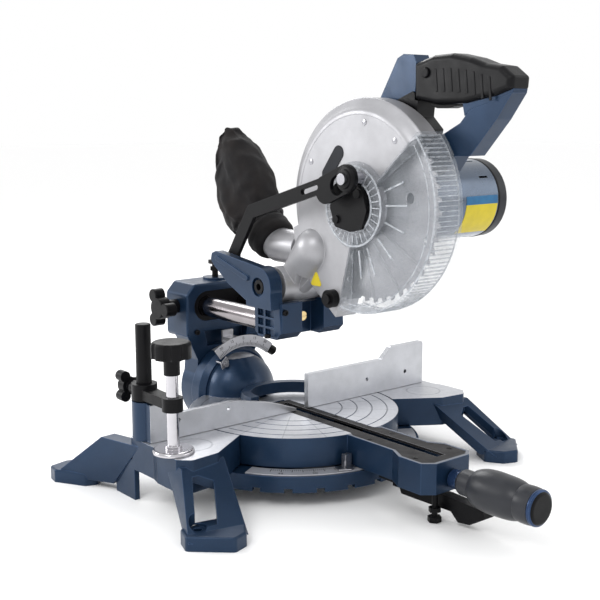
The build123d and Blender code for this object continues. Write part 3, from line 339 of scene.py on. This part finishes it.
def turntable_material():
    """Navy casting; the top is faced in a lathe and has scribed arcs and rays."""
    s = painted("navy_turntable", NAVY, NAVY_LIGHT)
    mask = machined_on_top(s, 0.0008)
    x, y, _ = s.axes()
    r = s.length(x, y)
    tool_pitch, arc_half_width, ray_half_width, ray_start, arm_start = 0.0016, 0.0009, 0.0006, 0.040, -0.122
    tooling = s.remap(s.wave(r, tool_pitch), -1.0, 1.0, 0.0, 0.30)
    colour = s.mix(tooling, BRIGHT, (0.44, 0.45, 0.48))
    angle = s.math("ARCTAN2", y, x)
    for radius in ARC_RADII:
        ring = s.band(r, radius, arc_half_width)
        colour = s.mix(s.math("MULTIPLY", ring, 0.7), colour, (0.16, 0.17, 0.19))
    for degrees in RAY_DEGREES:
        ray = s.band(angle, math.radians(degrees), s.math("DIVIDE", ray_half_width, r))
        ray = s.math("MULTIPLY", ray, s.math("GREATER_THAN", r, ray_start))
        colour = s.mix(s.math("MULTIPLY", ray, 0.6), colour, (0.2, 0.21, 0.23))
    colour = s.mix(s.cloud(260.0, 4.0, 0.35, 0.65, 0.0, 0.3), colour, GRAIN_LIGHT)
    arm = s.math("LESS_THAN", y, arm_start)
    mask = s.math("MULTIPLY", mask, s.math("SUBTRACT", 1.0, s.math("MULTIPLY", arm, 0.75)))
    bare_where(s, mask, colour)
    return s.mat


def fence_material():
    """Bare machined fence face and top; the back and the bow stay painted."""
    s = metal("fence_alloy", (0.52, 0.53, 0.56), 0.34, "x", strength=0.15)
    _, _, nz = s.normals()
    x, y, _ = s.axes()
    back_y, face_y, end_x = -0.0079, -0.0148, -0.186
    behind = s.math("GREATER_THAN", y, back_y)
    face_up = s.math("MULTIPLY", s.math("GREATER_THAN", nz, 0.5), s.math("LESS_THAN", y, back_y))
    painted_back = s.math("MULTIPLY", behind, s.math("SUBTRACT", 1.0, face_up))
    end = s.math("MULTIPLY", s.math("LESS_THAN", x, end_x), s.math("GREATER_THAN", y, face_y))
    mask = s.math("MAXIMUM", painted_back, end)
    s.set(Base_Color=s.mix(mask, s.base_colour(), NAVY), Metallic=s.remap(mask, 0.0, 1.0, 0.9, 0.4))
    return s.mat


def clear_material():
    """Clear polycarbonate with faint moulding haze."""
    s = Shader("clear_guard")
    s.set(Base_Color=s.mix(s.cloud(45.0), (0.26, 0.28, 0.31), (0.42, 0.45, 0.49)))
    s.set(Roughness=s.cloud(120.0, out_low=0.08, out_high=0.20))
    s.set(Alpha=s.cloud(30.0, out_low=0.16, out_high=0.24), Specular_IOR_Level=0.7)
    s.bump(s.noise(60.0), 0.06)
    return s.mat


def clear_rib_material():
    """The same plastic where it is thick, painted paler and less clear: a painted highlight for the light the
    ribs catch.
    """
    s = Shader("clear_ribs_painted_highlight")
    s.set(Base_Color=s.mix(s.cloud(160.0), (0.36, 0.39, 0.43), (0.80, 0.83, 0.87)))
    s.set(Roughness=0.15, Alpha=s.cloud(90.0, out_low=0.30, out_high=0.6), Specular_IOR_Level=0.7)
    s.bump(s.noise(300.0), 0.08)
    return s.mat


def bag_material():
    """Dark woven polyester: over-and-under threads, dusty folds and a soft sheen."""
    s = Shader("bag_weave")
    x, y, z = s.axes()
    thread_pitch = 0.0011
    along = s.math("ADD", s.math("MULTIPLY", y, BAG_AXIS[0]), s.math("MULTIPLY", z, BAG_AXIS[1]))
    weave = s.math("MULTIPLY", s.wave(x, thread_pitch), s.wave(along, thread_pitch))
    dust = s.cloud(28.0, 4.0, 0.42, 0.72)
    base = s.mix(s.remap(weave, -1.0, 1.0, 0.0, 1.0), (0.004, 0.004, 0.005), (0.014, 0.013, 0.014))
    base = s.mix(s.math("MULTIPLY", dust, 0.35), base, (0.038, 0.031, 0.028))
    s.set(Base_Color=base, Roughness=s.remap(dust, 0.0, 1.0, 0.62, 0.9))
    s.set(Sheen_Weight=0.05, Sheen_Roughness=0.5, Specular_IOR_Level=0.12)
    height = s.math("ADD", s.math("MULTIPLY", weave, 0.5), s.math("MULTIPLY", s.noise(180.0), 1.2))
    s.bump(height, 0.35, 0.0004)
    return s.mat


def kerf_material():
    """Dark moulded kerf plate with a painted highlight in a bright grey along its edges."""
    return moulded("kerf_plate", (0.013, 0.012, 0.013), 0.5, 900.0, 0.3, light=(0.34, 0.34, 0.36)).mat


def blade_material():
    """Ground steel disc with circular grinding lines."""
    s = metal("blade_steel", (0.60, 0.60, 0.62), 0.3)
    _, y, z = s.axes()
    grind_pitch, band_radius, band_half_width = 0.0012, 0.052, 0.010
    r = s.length(s.math("SUBTRACT", y, ARBOR[0] * MM), s.math("SUBTRACT", z, ARBOR[1] * MM))
    grinding = s.remap(s.wave(r, grind_pitch), -1.0, 1.0, 0.0, 0.5)
    ground = s.mix(grinding, (0.48, 0.48, 0.50), (0.30, 0.30, 0.33))
    band = s.band(r, band_radius, band_half_width)
    s.set(Base_Color=s.mix(s.math("MULTIPLY", band, 0.25), ground, (0.28, 0.29, 0.31)))
    return s.mat


def printed(name, colour, dark):
    """A printed plate with slight mottling."""
    s = Shader(name)
    s.set(Base_Color=s.mix(s.cloud(90.0), colour, dark))
    s.set(Roughness=s.cloud(200.0, out_low=0.3, out_high=0.45), Specular_IOR_Level=0.2)
    s.bump(s.noise(1600.0), 0.06)
    return s.mat


def make_materials():
    return {
        # The second colour given to painted() is used for flecks and for the painted highlight along edges.
        "navy": painted("navy_paint", NAVY, NAVY_LIGHT).mat,
        "navy_light": painted("navy_bright", (0.016, 0.042, 0.115), (0.10, 0.17, 0.32), 0.55, 0.3).mat,
        "motor_blue": painted("motor_blue_grey", (0.085, 0.115, 0.165), (0.30, 0.35, 0.44), 0.75, 0.22,
                              coat=0.4).mat,
        "silver": painted("silver_paint", (0.40, 0.40, 0.42), (0.66, 0.66, 0.68), 0.5, 0.42,
                          grain=1200.0, strength=0.08).mat,
        "base": base_material(),
        "turntable": turntable_material(),
        "fence": fence_material(),
        "scale": metal("scale_plate", (0.60, 0.60, 0.63), 0.35, "x", metallic=0.6).mat,
        "steel": metal("plated_steel", (0.42, 0.42, 0.45), 0.3).mat,
        "chrome": metal("chrome", (0.56, 0.55, 0.58), 0.13, "y", strength=0.03).mat,
        # Painted shade: the rails get the chrome in a darker colour, standing for the dark reflections seen
        # on them.
        "rail": metal("rail_chrome_painted_shade", (0.27, 0.25, 0.26), 0.14, "y", strength=0.03).mat,
        "brass": metal("brass", (0.78, 0.60, 0.30), 0.28).mat,
        "black": moulded("black_plastic", (0.004, 0.004, 0.005), 0.38).mat,
        "grey": moulded("grey_plastic", (0.026, 0.028, 0.034), 0.34, 1800.0, 0.15, 0.3).mat,
        "cap": moulded("motor_cap_plastic", (0.016, 0.018, 0.023), 0.36, 1600.0, 0.2, 0.25).mat,
        "grip": moulded("soft_grip", (0.004, 0.004, 0.005), 0.36, 2200.0, 0.3, 0.16).mat,
        "kerf": kerf_material(),
        "clear": clear_material(),
        "clear_rib": clear_rib_material(),
        "bag": bag_material(),
        "blade": blade_material(),
        "iron": metal("varnished_iron", (0.26, 0.17, 0.11), 0.45).mat,
        "ink": printed("scale_ink", (0.012, 0.012, 0.014), (0.03, 0.03, 0.032)),
        "dark_plate": printed("blank_badge", (0.003, 0.004, 0.008), (0.006, 0.008, 0.014)),
        "pale_plate": printed("blank_plate", (0.60, 0.48, 0.03), (0.52, 0.42, 0.03)),
        "blue_plate": printed("blank_stripe", (0.03, 0.15, 0.30), (0.025, 0.11, 0.24)),
    }


LOOK = {
    "base": ["base_casting"],
    "turntable": ["turntable"],
    "fence": ["fence"],
    "scale": ["mitre_scale", "bevel_scale"],
    "navy": ["column", "carriage", "gear_case", "handle_frame"],
    "motor_blue": ["motor_housing"],
    "silver": ["upper_guard", "dust_port"],
    "steel": ["base_bolts", "mitre_pointer", "bevel_pointer", "bevel_bolt", "link_anchor", "arbor_shaft",
              "bearings", "blade_flange", "arbor_bolt", "link_screw", "bearing_plates"],
    "chrome": ["clamp_spindle"],
    "rail": ["slide_rails"],
    "brass": ["depth_stop", "rail_bushes"],
    "black": ["pivot_pin", "kerf_screws", "support_bolt", "detent_bracket", "detent_lever",
              "mitre_handle_cap", "rail_wiper", "bevel_stop", "bevel_lever", "slide_knob",
              "rail_stop_screw", "rail_end_plate", "lock_pin", "cord_gland", "guard_link", "arbor_cover",
              "guard_roller", "trigger", "lock_off_button", "clamp_post", "clamp_arm",
              "clamp_lock_knob", "clamp_knob"],
    "navy_light": ["mitre_handle_shaft"],
    "grey": ["mitre_handle"],
    "cap": ["motor_cap"],
    "grip": ["grip"],
    "kerf": ["kerf_plate"],
    "clear": ["lower_guard"],
    "bag": ["dust_bag"],
    "blade": ["saw_blade"],
    "iron": ["armature", "field_and_brushes"],
}


def dress_nodes(mats):
    """Gives each CAD node its one material."""
    for look, names in LOOK.items():
        for name in names:
            mesh = nodes[name].data
            mesh.materials.clear()
            mesh.materials.append(mats[look])


# ---------------------------------------------------------------- mesh helpers (millimetres in, metres out)
WELD = 1e-6
BEVEL_SEGMENTS = 2
BEVEL_FROM_DEGREES = 35


def piece(name, verts, faces, mat, body, smooth=30.0):
    """A new mesh that rides a body; edges sharper than the smooth angle stay sharp."""
    mesh = bpy.data.meshes.new(name)
    mesh.from_pydata([tuple(c * MM for c in v) for v in verts], [], faces)
    work = bmesh.new()
    work.from_mesh(mesh)
    bmesh.ops.remove_doubles(work, verts=work.verts, dist=WELD)
    bmesh.ops.recalc_face_normals(work, faces=work.faces)
    work.to_mesh(mesh)
    work.free()
    mesh.materials.append(mat)
    obj = bpy.data.objects.new(name, mesh)
    bpy.context.scene.collection.objects.link(obj)
    mesh.shade_smooth()
    mesh.set_sharp_from_angle(angle=math.radians(smooth))
    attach(obj, body)
    return obj


def add_bevel(obj, width):
    """Rounds the edges of a piece made here."""
    modifier = obj.modifiers.new("round", "BEVEL")
    modifier.width = width * MM
    modifier.segments = BEVEL_SEGMENTS
    modifier.limit_method = "ANGLE"
    modifier.angle_limit = math.radians(BEVEL_FROM_DEGREES)


def apply_modifiers(obj):
    """Bakes every modifier into the mesh."""
    graph = bpy.context.evaluated_depsgraph_get()
    graph.update()
    baked = bpy.data.meshes.new_from_object(obj.evaluated_get(graph))
    obj.modifiers.clear()
    obj.data = baked


def strip_faces(rows, around, closed=False):
    """Quads between rings of points that are stored one after another."""
    faces = []
    for k in range(rows if closed else rows - 1):
        n = (k + 1) % rows
        for i in range(around):
            j = (i + 1) % around
            faces.append((k * around + i, k * around + j, n * around + j, n * around + i))
    return faces


class Build:
    """Collects blocks, rings and extrusions into one mesh."""

    def __init__(self):
        self.verts = []
        self.faces = []

    def add(self, verts, faces):
        start = len(self.verts)
        self.verts += [tuple(v) for v in verts]
        self.faces += [tuple(i + start for i in f) for f in faces]

    def block(self, centre, along, across, up, size):
        """A block with half sizes along three directions."""
        c, a, b, u = (Vector(v) for v in (centre, along, across, up))
        a, b, u = a.normalized() * size[0], b.normalized() * size[1], u.normalized() * size[2]
        corners = [c + a * i + b * j + u * k for i in (-1, 1) for j in (-1, 1) for k in (-1, 1)]
        self.add(corners, [(0, 1, 3, 2), (4, 6, 7, 5), (0, 4, 5, 1), (2, 3, 7, 6), (0, 2, 6, 4),
                           (1, 5, 7, 3)])

    def extrude(self, outline, offset):
        """A flat outline pushed along an offset."""
        n = len(outline)
        off = Vector(offset)
        top = [Vector(p) + off for p in outline]
        faces = [tuple(range(n)), tuple(range(2 * n - 1, n - 1, -1))]
        faces += [(i, (i + 1) % n, n + (i + 1) % n, n + i) for i in range(n)]
        self.add([*outline, *top], faces)

    def lathe(self, centre, axis, profile, steps, start=None, closed=False):
        """A turned solid: profile pairs are distance along the axis and radius."""
        ax = Vector(axis).normalized()
        side = Vector(start) if start else ax.orthogonal().normalized()
        other = ax.cross(side)
        verts = []
        for along, r in profile:
            middle = Vector(centre) + ax * along
            for i in range(steps):
                a = 2 * math.pi * i / steps
                verts.append(middle + side * (r * math.cos(a)) + other * (r * math.sin(a)))
        faces = strip_faces(len(profile), steps, closed)
        if not closed and profile[0][1] > WELD:
            faces.append(tuple(range(steps - 1, -1, -1)))
        if not closed and profile[-1][1] > WELD:
            last = (len(profile) - 1) * steps
            faces.append(tuple(last + i for i in range(steps)))
        self.add(verts, faces)

    def make(self, name, mat, body, smooth=30.0):
        return piece(name, self.verts, self.faces, mat, body, smooth)


def on_arbor(x, r, degrees):
    """A point on a circle about the arbor's axis."""
    y, z = ARBOR
    a = math.radians(degrees)
    return (x, y + r * math.cos(a), z + r * math.sin(a))


def sweep(build, section, start, end, steps):
    """A closed section of x and radius pairs swept about the arbor's axis, in degrees."""
    n = len(section)
    verts = []
    for i in range(steps + 1):
        a = start + (end - start) * i / steps
        verts += [on_arbor(x, r, a) for x, r in section]
    ends = [tuple(range(n)), tuple(n * steps + k for k in reversed(range(n)))]
    build.add(verts, ends + strip_faces(steps + 1, n))


def ridge(build, x0, x1, r0, r1, start, end, steps):
    """A raised band between two radii, slightly narrower at its crest x1."""
    taper = 0.25
    sweep(build, [(x0, r0), (x1, r0 + taper), (x1, r1 - taper), (x0, r1)], start, end, steps)


def rib(build, x, r, degrees, half_sizes):
    """A block on a circle about the arbor's axis: half sizes outwards, around and along X."""
    a = math.radians(degrees)
    out = (0, math.cos(a), math.sin(a))
    around = (0, -math.sin(a), math.cos(a))
    build.block(on_arbor(x, r, degrees), out, around, UNIT_X, half_sizes)


NUMERAL_THICKNESS = 0.00004


def numeral(text, size, place, along, up, mat, body, name):
    """A printed number as a thin flat mesh."""
    curve = bpy.data.curves.new(name + "_curve", "FONT")
    curve.body = text
    curve.size = size * MM
    curve.align_x = "CENTER"
    curve.align_y = "CENTER"
    curve.extrude = NUMERAL_THICKNESS
    source = bpy.data.objects.new(name + "_source", curve)
    bpy.context.scene.collection.objects.link(source)
    graph = bpy.context.evaluated_depsgraph_get()
    mesh = bpy.data.meshes.new_from_object(source.evaluated_get(graph))
    bpy.data.objects.remove(source)
    obj = bpy.data.objects.new(name, mesh)
    bpy.context.scene.collection.objects.link(obj)
    a = Vector(along).normalized()
    u = Vector(up).normalized()
    turn = Matrix((a, u, a.cross(u))).transposed().to_4x4()
    obj.matrix_world = Matrix.Translation(Vector(place) * MM) @ turn
    mesh.materials.clear()
    mesh.materials.append(mat)
    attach(obj, body)


# ---------------------------------------------------------------- detail pieces
def mitre_scale(mats):
    """Marks on each degree of the scale band, and numbers every 15 degrees."""
    start_radius, number_radius, number_face = 130.0, 142.3, 36.24
    ticks = Build()
    for degrees in range(-50, 51):
        a = math.radians(-90 + degrees)
        long_mark = degrees % 5 == 0
        length = 7.5 if long_mark else 4.0
        half_width = 0.45 if long_mark else 0.28
        out = (math.cos(a), math.sin(a), 0)
        across = (-math.sin(a), math.cos(a), 0)
        mid = start_radius + length / 2
        ticks.block((mid * out[0], mid * out[1], MITRE_SCALE_FACE), out, across, UNIT_Z,
                    (length / 2, half_width, 0.05))
    ticks.make("mitre_scale_ticks", mats["ink"], "base")
    for degrees in range(-45, 46, 15):
        a = math.radians(-90 + degrees)
        c, s = math.cos(a), math.sin(a)
        name = "mitre_number_%s%d" % ("l" if degrees < 0 else "r", abs(degrees))
        numeral(str(abs(degrees)), 6.4, (number_radius * c, number_radius * s, number_face),
                (-s, c, 0), (-c, -s, 0), mats["ink"], "base", name)


def bevel_scale(mats):
    """Marks every 2 degrees on the bevel scale, and numbers every 15 degrees."""
    start_radius, number_radius, number_face = 59.0, 68.3, 99.93
    marks = Build()
    for degrees in range(52, 127, 2):
        a = math.radians(degrees)
        length = 6.0 if degrees % 10 == 0 else 3.6
        out = (math.cos(a), 0, math.sin(a))
        across = (-math.sin(a), 0, math.cos(a))
        mid = start_radius + length / 2
        marks.block((mid * out[0], BEVEL_SCALE_FACE, BEVEL_AXIS_Z + mid * out[2]), out, across, UNIT_Y,
                    (length / 2, 0.3, 0.06))
    marks.make("bevel_scale_ticks", mats["ink"], "bevel_arm")
    for value, degrees in ((30, 120), (15, 105), (0, 90), (15, 75), (30, 60)):
        a = math.radians(degrees)
        place = (number_radius * math.cos(a), number_face, BEVEL_AXIS_Z + number_radius * math.sin(a))
        numeral(str(value), 5.2, place, (math.sin(a), 0, -math.cos(a)), (math.cos(a), 0, math.sin(a)),
                mats["ink"], "bevel_arm", "bevel_number_%d_%d" % (value, degrees))


def lower_guard_ribs(mats):
    """Ribs across the clear guard's rim, spokes on its wall and fins round its hub."""
    rim = Build()
    for i in range(58):
        rib(rim, -1.7, 114.6, 139.2 + i * 2.5, (0.9, 0.45, 15.5))
    for x in (-19.2, 15.8):
        ridge(rim, x, x + 0.5, 112.6, 114.6, 138.5, 282.5, 72)
    rim.make("guard_rim_ribs", mats["clear_rib"], "guard")

    walls = Build()
    ridge(walls, -20.0, -20.6, 106.0, 107.0, 142, 279, 60)
    for degrees in (158, 176, 197, 222, 246, 262):
        rib(walls, -20.5, 62, degrees, (15.0, 0.9, 0.5))
    walls.make("guard_wall_ribs", mats["clear_rib"], "guard")

    hub = Build()
    ridge(hub, -23.9, -24.7, 41.2, 43.6, 0, 360, 72)
    ridge(hub, -23.9, -24.6, 27.0, 29.0, 0, 360, 60)
    for i in range(32):
        rib(hub, -24.2, 35.2, 11.25 * i, (5.4, 0.55, 0.35))
    hub.make("guard_hub_ribs", mats["clear_rib"], "guard")


def upper_guard_details(mats):
    """The rounded shoulder between the upper guard's face and rim, its right edge, and rivets."""
    shoulder = Build()
    section = [(-16.8, 95.0), (-17.35, 95.6), (-17.4, 98.4), (-16.6, 100.4), (-14.9, 102.6), (-13.3, 104.6),
               (-11.6, 107.6), (-10.2, 110.6), (-8.9, 112.8), (-7.6, 113.3), (-7.6, 112.0), (-9.4, 106.0),
               (-12.6, 100.0), (-15.8, 95.4)]
    sweep(shoulder, section, -1, 137.6, 96)
    ridge(shoulder, 12.9, 13.6, 110.6, 112.8, -38, 137, 90)
    shoulder.make("upper_guard_shoulder", mats["silver"], "head", 40.0)

    rivets = Build()
    for degrees in (2, 30, 96, 128):
        rivets.lathe(on_arbor(GUARD_LEFT_FACE, 88.0, degrees), (-1, 0, 0),
                     [(-0.2, 3.4), (0.4, 3.3), (0.75, 2.2), (0.9, 0.0)], 20)
    rivets.make("upper_guard_rivets", mats["steel"], "head")


def link_washer(mats):
    """Black washer between the guard link and the screw's head."""
    washer = Build()
    washer.lathe((-45.0, -140.0, 351.0), (-1, 0, 0),
                 [(0.0, 13.5), (1.1, 13.5), (1.7, 12.6), (2.0, 10.4), (4.0, 9.8), (4.4, 9.0), (4.4, 6.2)], 48)
    washer.make("link_washer", mats["black"], "guard")


def blank_plates(mats):
    """Plain plates with no lettering: a rounded badge, a small triangle and two motor labels."""
    centre_y, centre_z, half_length, end_radius = -88.0, 364.0, 15, 8.0
    tilt = math.radians(128)
    outline = []
    for end, first in ((1, -90), (-1, 90)):
        for i in range(13):
            a = math.radians(first + 180 * i / 12)
            u = end * half_length + end_radius * math.cos(a)
            v = end_radius * math.sin(a)
            outline.append((GUARD_LEFT_FACE, centre_y + u * math.cos(tilt) - v * math.sin(tilt),
                            centre_z + u * math.sin(tilt) + v * math.cos(tilt)))
    badge = Build()
    badge.extrude(outline, (-0.7, 0, 0))
    add_bevel(badge.make("blank_badge", mats["dark_plate"], "head"), 0.25)

    centre_y, centre_z, corner_distance, corner_radius = -61.0, 233.0, 7.0, 2.6
    outline = []
    for k in range(3):
        towards = math.radians(90 + 120 * k)
        y = centre_y + corner_distance * math.cos(towards)
        z = centre_z + corner_distance * math.sin(towards)
        for i in range(7):
            a = towards + math.radians(-60 + 20 * i)
            outline.append((GUARD_LEFT_FACE, y + corner_radius * math.cos(a),
                            z + corner_radius * math.sin(a)))
    triangle = Build()
    triangle.extrude(outline, (-0.4, 0, 0))
    add_bevel(triangle.make("blank_plate_small", mats["pale_plate"], "head"), 0.15)

    plate_on_motor("blank_motor_label", mats["pale_plate"], 104, 156, 184, 232)
    plate_on_motor("motor_stripe", mats["blue_plate"], 104, 156, 172, 184)


def plate_on_motor(name, mat, x0, x1, start, end):
    """A thin blank label wrapped round the motor housing."""
    outside = MOTOR_RADIUS + 0.45
    section = [(x0, MOTOR_RADIUS), (x1, MOTOR_RADIUS), (x1 - 0.3, outside), (x0 + 0.3, outside)]
    label = Build()
    sweep(label, section, start, end, 24)
    label.make(name, mat, "head")


def cap_screw(build, centre, axis, r):
    """A socket head as tall as its radius."""
    build.lathe(centre, axis, [(-0.5, r), (r * 0.85, r), (r, r * 0.86), (r, r * 0.5),
                               (r * 0.55, r * 0.48), (r * 0.5, 0.0)], 24)


def screws(mats):
    """Small cap screws that hold the castings together."""
    head = Build()
    for y, z in ((-118, 384), (-160, 386), (-182, 374)):
        cap_screw(head, (42.0, y, z), UNIT_X, 3.2)
    head.make("gear_case_screws", mats["steel"], "head")
    column = Build()
    for x in (-46, 46):
        cap_screw(column, (x, 136.4, 146), (0, -1, 0), 3.4)
    column.make("column_screws", mats["black"], "bevel_arm")
    block = Build()
    cap_screw(block, (-44, -38.0, 196), (0, -1, 0), 3.4)
    block.lathe((-56, -22, 170), (0, 0, -1), [(0, 0), (0, 3.6), (3.6, 3.6), (4.2, 2.4), (4.2, 0)], 20)
    block.make("carriage_screws", mats["black"], "slide")


def grip_details(mats):
    """Raised ribs on the left side of the grip, and the painted seat under it."""
    ribs = Build()
    lean = 0.12
    for y, z in ((-206, 450), (-216, 450), (-226, 450), (-236, 449), (-246, 448), (-256, 446),
                 (-266, 443), (-276, 441)):
        ribs.block((16.0, y, z), (0, lean, 1), (0, 1, -lean), UNIT_X, (11.5, 1.5, 0.55))
    add_bevel(ribs.make("grip_ribs", mats["grip"], "head"), 0.4)
    outline = [(-301, 440.6), (-282, 434.8), (-244, 427.8), (-238, 427), (-241, 415), (-248, 420.4),
               (-282, 430.4), (-300, 436.4)]
    seat = Build()
    seat.extrude([(20.3, y, z) for y, z in outline], (21.4, 0, 0))
    add_bevel(seat.make("grip_seat", mats["navy"], "head"), 0.3)


def handle_rings(mats):
    """The end of the mitre handle: the grey barrel's last turn and its blue ring."""
    rings = Build()
    rings.lathe(HANDLE_START, (0, -1, 0),
                [(62.0, 16.5), (62.3, 18.2), (63.4, 18.5), (65.2, 18.1), (66.2, 16.5)], 56)
    rings.make("mitre_handle_band", mats["navy_light"], "mitre_grip")
    barrel = Build()
    barrel.lathe(HANDLE_START, (0, -1, 0),
                 [(45.0, 17.0), (45.4, 18.5), (49.0, 18.9), (54.0, 19.0), (59.0, 18.7), (61.6, 18.3),
                  (62.1, 16.5)], 56)
    barrel.make("mitre_handle_end", mats["grey"], "mitre_grip")


def motor_bands(mats):
    """Two black rings at the seams of the motor housing."""
    inside = MOTOR_RADIUS - 0.1
    bands = Build()
    for start, end, crest in ((157.6, 160.7, 45.5), (52.6, 55.0, 45.35)):
        bands.lathe((0, *ARBOR), UNIT_X,
                    [(start, inside), (start + 0.4, crest), (end - 0.4, crest), (end, inside)], 72)
    bands.make("motor_seam_rings", mats["black"], "head")


# ---------------------------------------------------------------- dust bag
BAG_STATIONS = (
    # centre y, centre z, half width across X, half depth, tilt of the section in degrees
    (49.5, 279.6, 21.0, 21.0, 60), (54.0, 284.5, 25.0, 25.0, 57), (58.0, 292.0, 30.0, 31.0, 53),
    (64.0, 302.0, 33.5, 38.0, 46), (74.0, 316.0, 35.5, 43.0, 40), (85.0, 331.0, 36.0, 44.0, 34),
    (95.0, 345.0, 35.5, 42.0, 28), (104.0, 359.0, 34.0, 39.0, 24), (111.0, 371.0, 30.5, 33.0, 22),
    (117.0, 382.0, 25.0, 24.0, 20), (119.5, 391.0, 14.0, 12.0, 20),
)
BAG_AROUND = 40
BAG_ROUNDNESS = 0.85  # below 1 the section is a rounded box, at 1 it is an ellipse
BAG_VOXEL = 0.004
PORT_PLACE, PORT_HOLD = Vector((-0.002, 0.049, 0.279)), 0.026
TIP_PLACE, TIP_HOLD = Vector((-0.002, 0.120, 0.388)), 0.014
CLOTH_FRAMES = 24
CLOTH_REACH = 0.009  # the furthest that the cloth may move from the loft
BAG_MIN_X, BAG_MIN_Y = -0.0376, 0.0


def bag_shape():
    """Loft of the empty bag from the port to its tip, in millimetres."""
    verts = []
    for y, z, half_x, half_depth, tilt in BAG_STATIONS:
        t = math.radians(tilt)
        depth = Vector((0, math.sin(t), -math.cos(t)))
        for i in range(BAG_AROUND):
            a = 2 * math.pi * i / BAG_AROUND
            c, s = math.cos(a), math.sin(a)
            across = math.copysign(abs(c) ** BAG_ROUNDNESS, c) * half_x
            down = math.copysign(abs(s) ** BAG_ROUNDNESS, s) * half_depth
            verts.append(tuple(Vector((BAG_MIDDLE_X + across, y, z)) + depth * down))
    rows = len(BAG_STATIONS)
    faces = strip_faces(rows, BAG_AROUND)
    faces.append(tuple(range(BAG_AROUND - 1, -1, -1)))
    faces.append(tuple((rows - 1) * BAG_AROUND + i for i in range(BAG_AROUND)))
    return verts, faces


def drape(bag):
    """A short cloth simulation, held at the port and the tip, and baked into the mesh."""
    pinned = bag.vertex_groups.new(name="pinned")
    for i, v in enumerate(bag.data.vertices):
        if (v.co - PORT_PLACE).length < PORT_HOLD or (v.co - TIP_PLACE).length < TIP_HOLD:
            pinned.add([i], 1.0, "REPLACE")
    cloth = bag.modifiers.new("cloth", "CLOTH")
    cloth.settings.quality = 6
    cloth.settings.mass = 0.15
    cloth.settings.tension_stiffness = 25
    cloth.settings.compression_stiffness = 25
    cloth.settings.shear_stiffness = 8
    cloth.settings.bending_stiffness = 0.08
    cloth.settings.shrink_min = -0.10
    cloth.settings.shrink_max = -0.10
    cloth.settings.use_pressure = True
    cloth.settings.uniform_pressure_force = 0.6
    cloth.settings.vertex_group_mass = "pinned"
    cloth.settings.effector_weights.gravity = 0.35
    cloth.collision_settings.use_collision = False
    cloth.collision_settings.use_self_collision = False
    cloth.point_cache.frame_start = 1
    cloth.point_cache.frame_end = CLOTH_FRAMES
    scene = bpy.context.scene
    for frame_number in range(1, CLOTH_FRAMES + 1):
        scene.frame_set(frame_number)
    apply_modifiers(bag)
    scene.frame_set(1)


def crease(bag):
    """Pushes the cloth in and out along two sets of soft ridges, less so near the port."""
    shift = Vector((0.3, 0.7, 0.1))
    start_y, start_z, fade_in = 50.0, 280.0, 30.0
    bag.data.update()
    normals = [v.normal.copy() for v in bag.data.vertices]
    for v, n in zip(bag.data.vertices, normals):
        p = v.co * 1000.0
        along = (p.y - start_y) * BAG_AXIS[0] + (p.z - start_z) * BAG_AXIS[1]
        near = min(1.0, max(0.0, along / fade_in))
        long_waves = noise.noise(Vector((p.x * 0.035, along * 0.022, p.y * 0.03)) + shift)
        short_waves = noise.noise(Vector((p.x * 0.07, along * 0.05, p.z * 0.05)) - shift)
        long_fold = 0.45 - abs(long_waves) * 2.0
        short_fold = 0.45 - abs(short_waves) * 2.0
        v.co += n * MM * near * (2.4 * long_fold + 1.3 * short_fold)
        v.co.x = max(v.co.x, BAG_MIN_X)
        v.co.y = max(v.co.y, BAG_MIN_Y)


def dust_bag(mats):
    """One closed cloth in place of the CAD bag, with its cuff and the sleeve over the port."""
    verts, faces = bag_shape()
    bag = piece("dust_bag_cloth", verts, faces, mats["bag"], "head", 180.0)
    remesh = bag.modifiers.new("remesh", "REMESH")
    remesh.mode = "VOXEL"
    remesh.voxel_size = BAG_VOXEL
    apply_modifiers(bag)
    rest = [v.co.copy() for v in bag.data.vertices]
    drape(bag)
    for v, start in zip(bag.data.vertices, rest):
        move = v.co - start
        if move.length > CLOTH_REACH:
            v.co = start + move.normalized() * CLOTH_REACH
    crease(bag)
    subdivide = bag.modifiers.new("smooth", "SUBSURF")
    subdivide.levels = 1
    subdivide.render_levels = 1
    apply_modifiers(bag)
    bag.data.shade_smooth()
    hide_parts("dust_bag")

    cuff = Build()
    cuff.lathe((BAG_MIDDLE_X, 51.5, 281.8), (0, 0.45, 0.55),
               [(-3.2, 22.6), (-3.0, 24.2), (0.0, 25.0), (3.0, 24.6), (3.4, 22.6)], 44, UNIT_X, closed=True)
    cuff.make("dust_bag_cuff", mats["black"], "head", 50.0)

    sleeve = Build()
    sleeve.lathe((BAG_MIDDLE_X, 50.0, 279.4), (0, -0.87, -0.49),
                 [(0.0, 24.4), (3.0, 27.4), (8.0, 28.2), (12.0, 26.6), (15.0, 27.2), (20.0, 26.8),
                  (24.0, 25.0), (25.5, 23.4), (25.5, 21.0)], 56)
    sleeve.make("dust_bag_sleeve", mats["bag"], "head", 50.0)


def main():
    studio()
    mats = make_materials()
    dress_nodes(mats)
    mitre_scale(mats)
    bevel_scale(mats)
    lower_guard_ribs(mats)
    upper_guard_details(mats)
    link_washer(mats)
    blank_plates(mats)
    screws(mats)
    grip_details(mats)
    handle_rings(mats)
    motor_bands(mats)
    dust_bag(mats)


main()
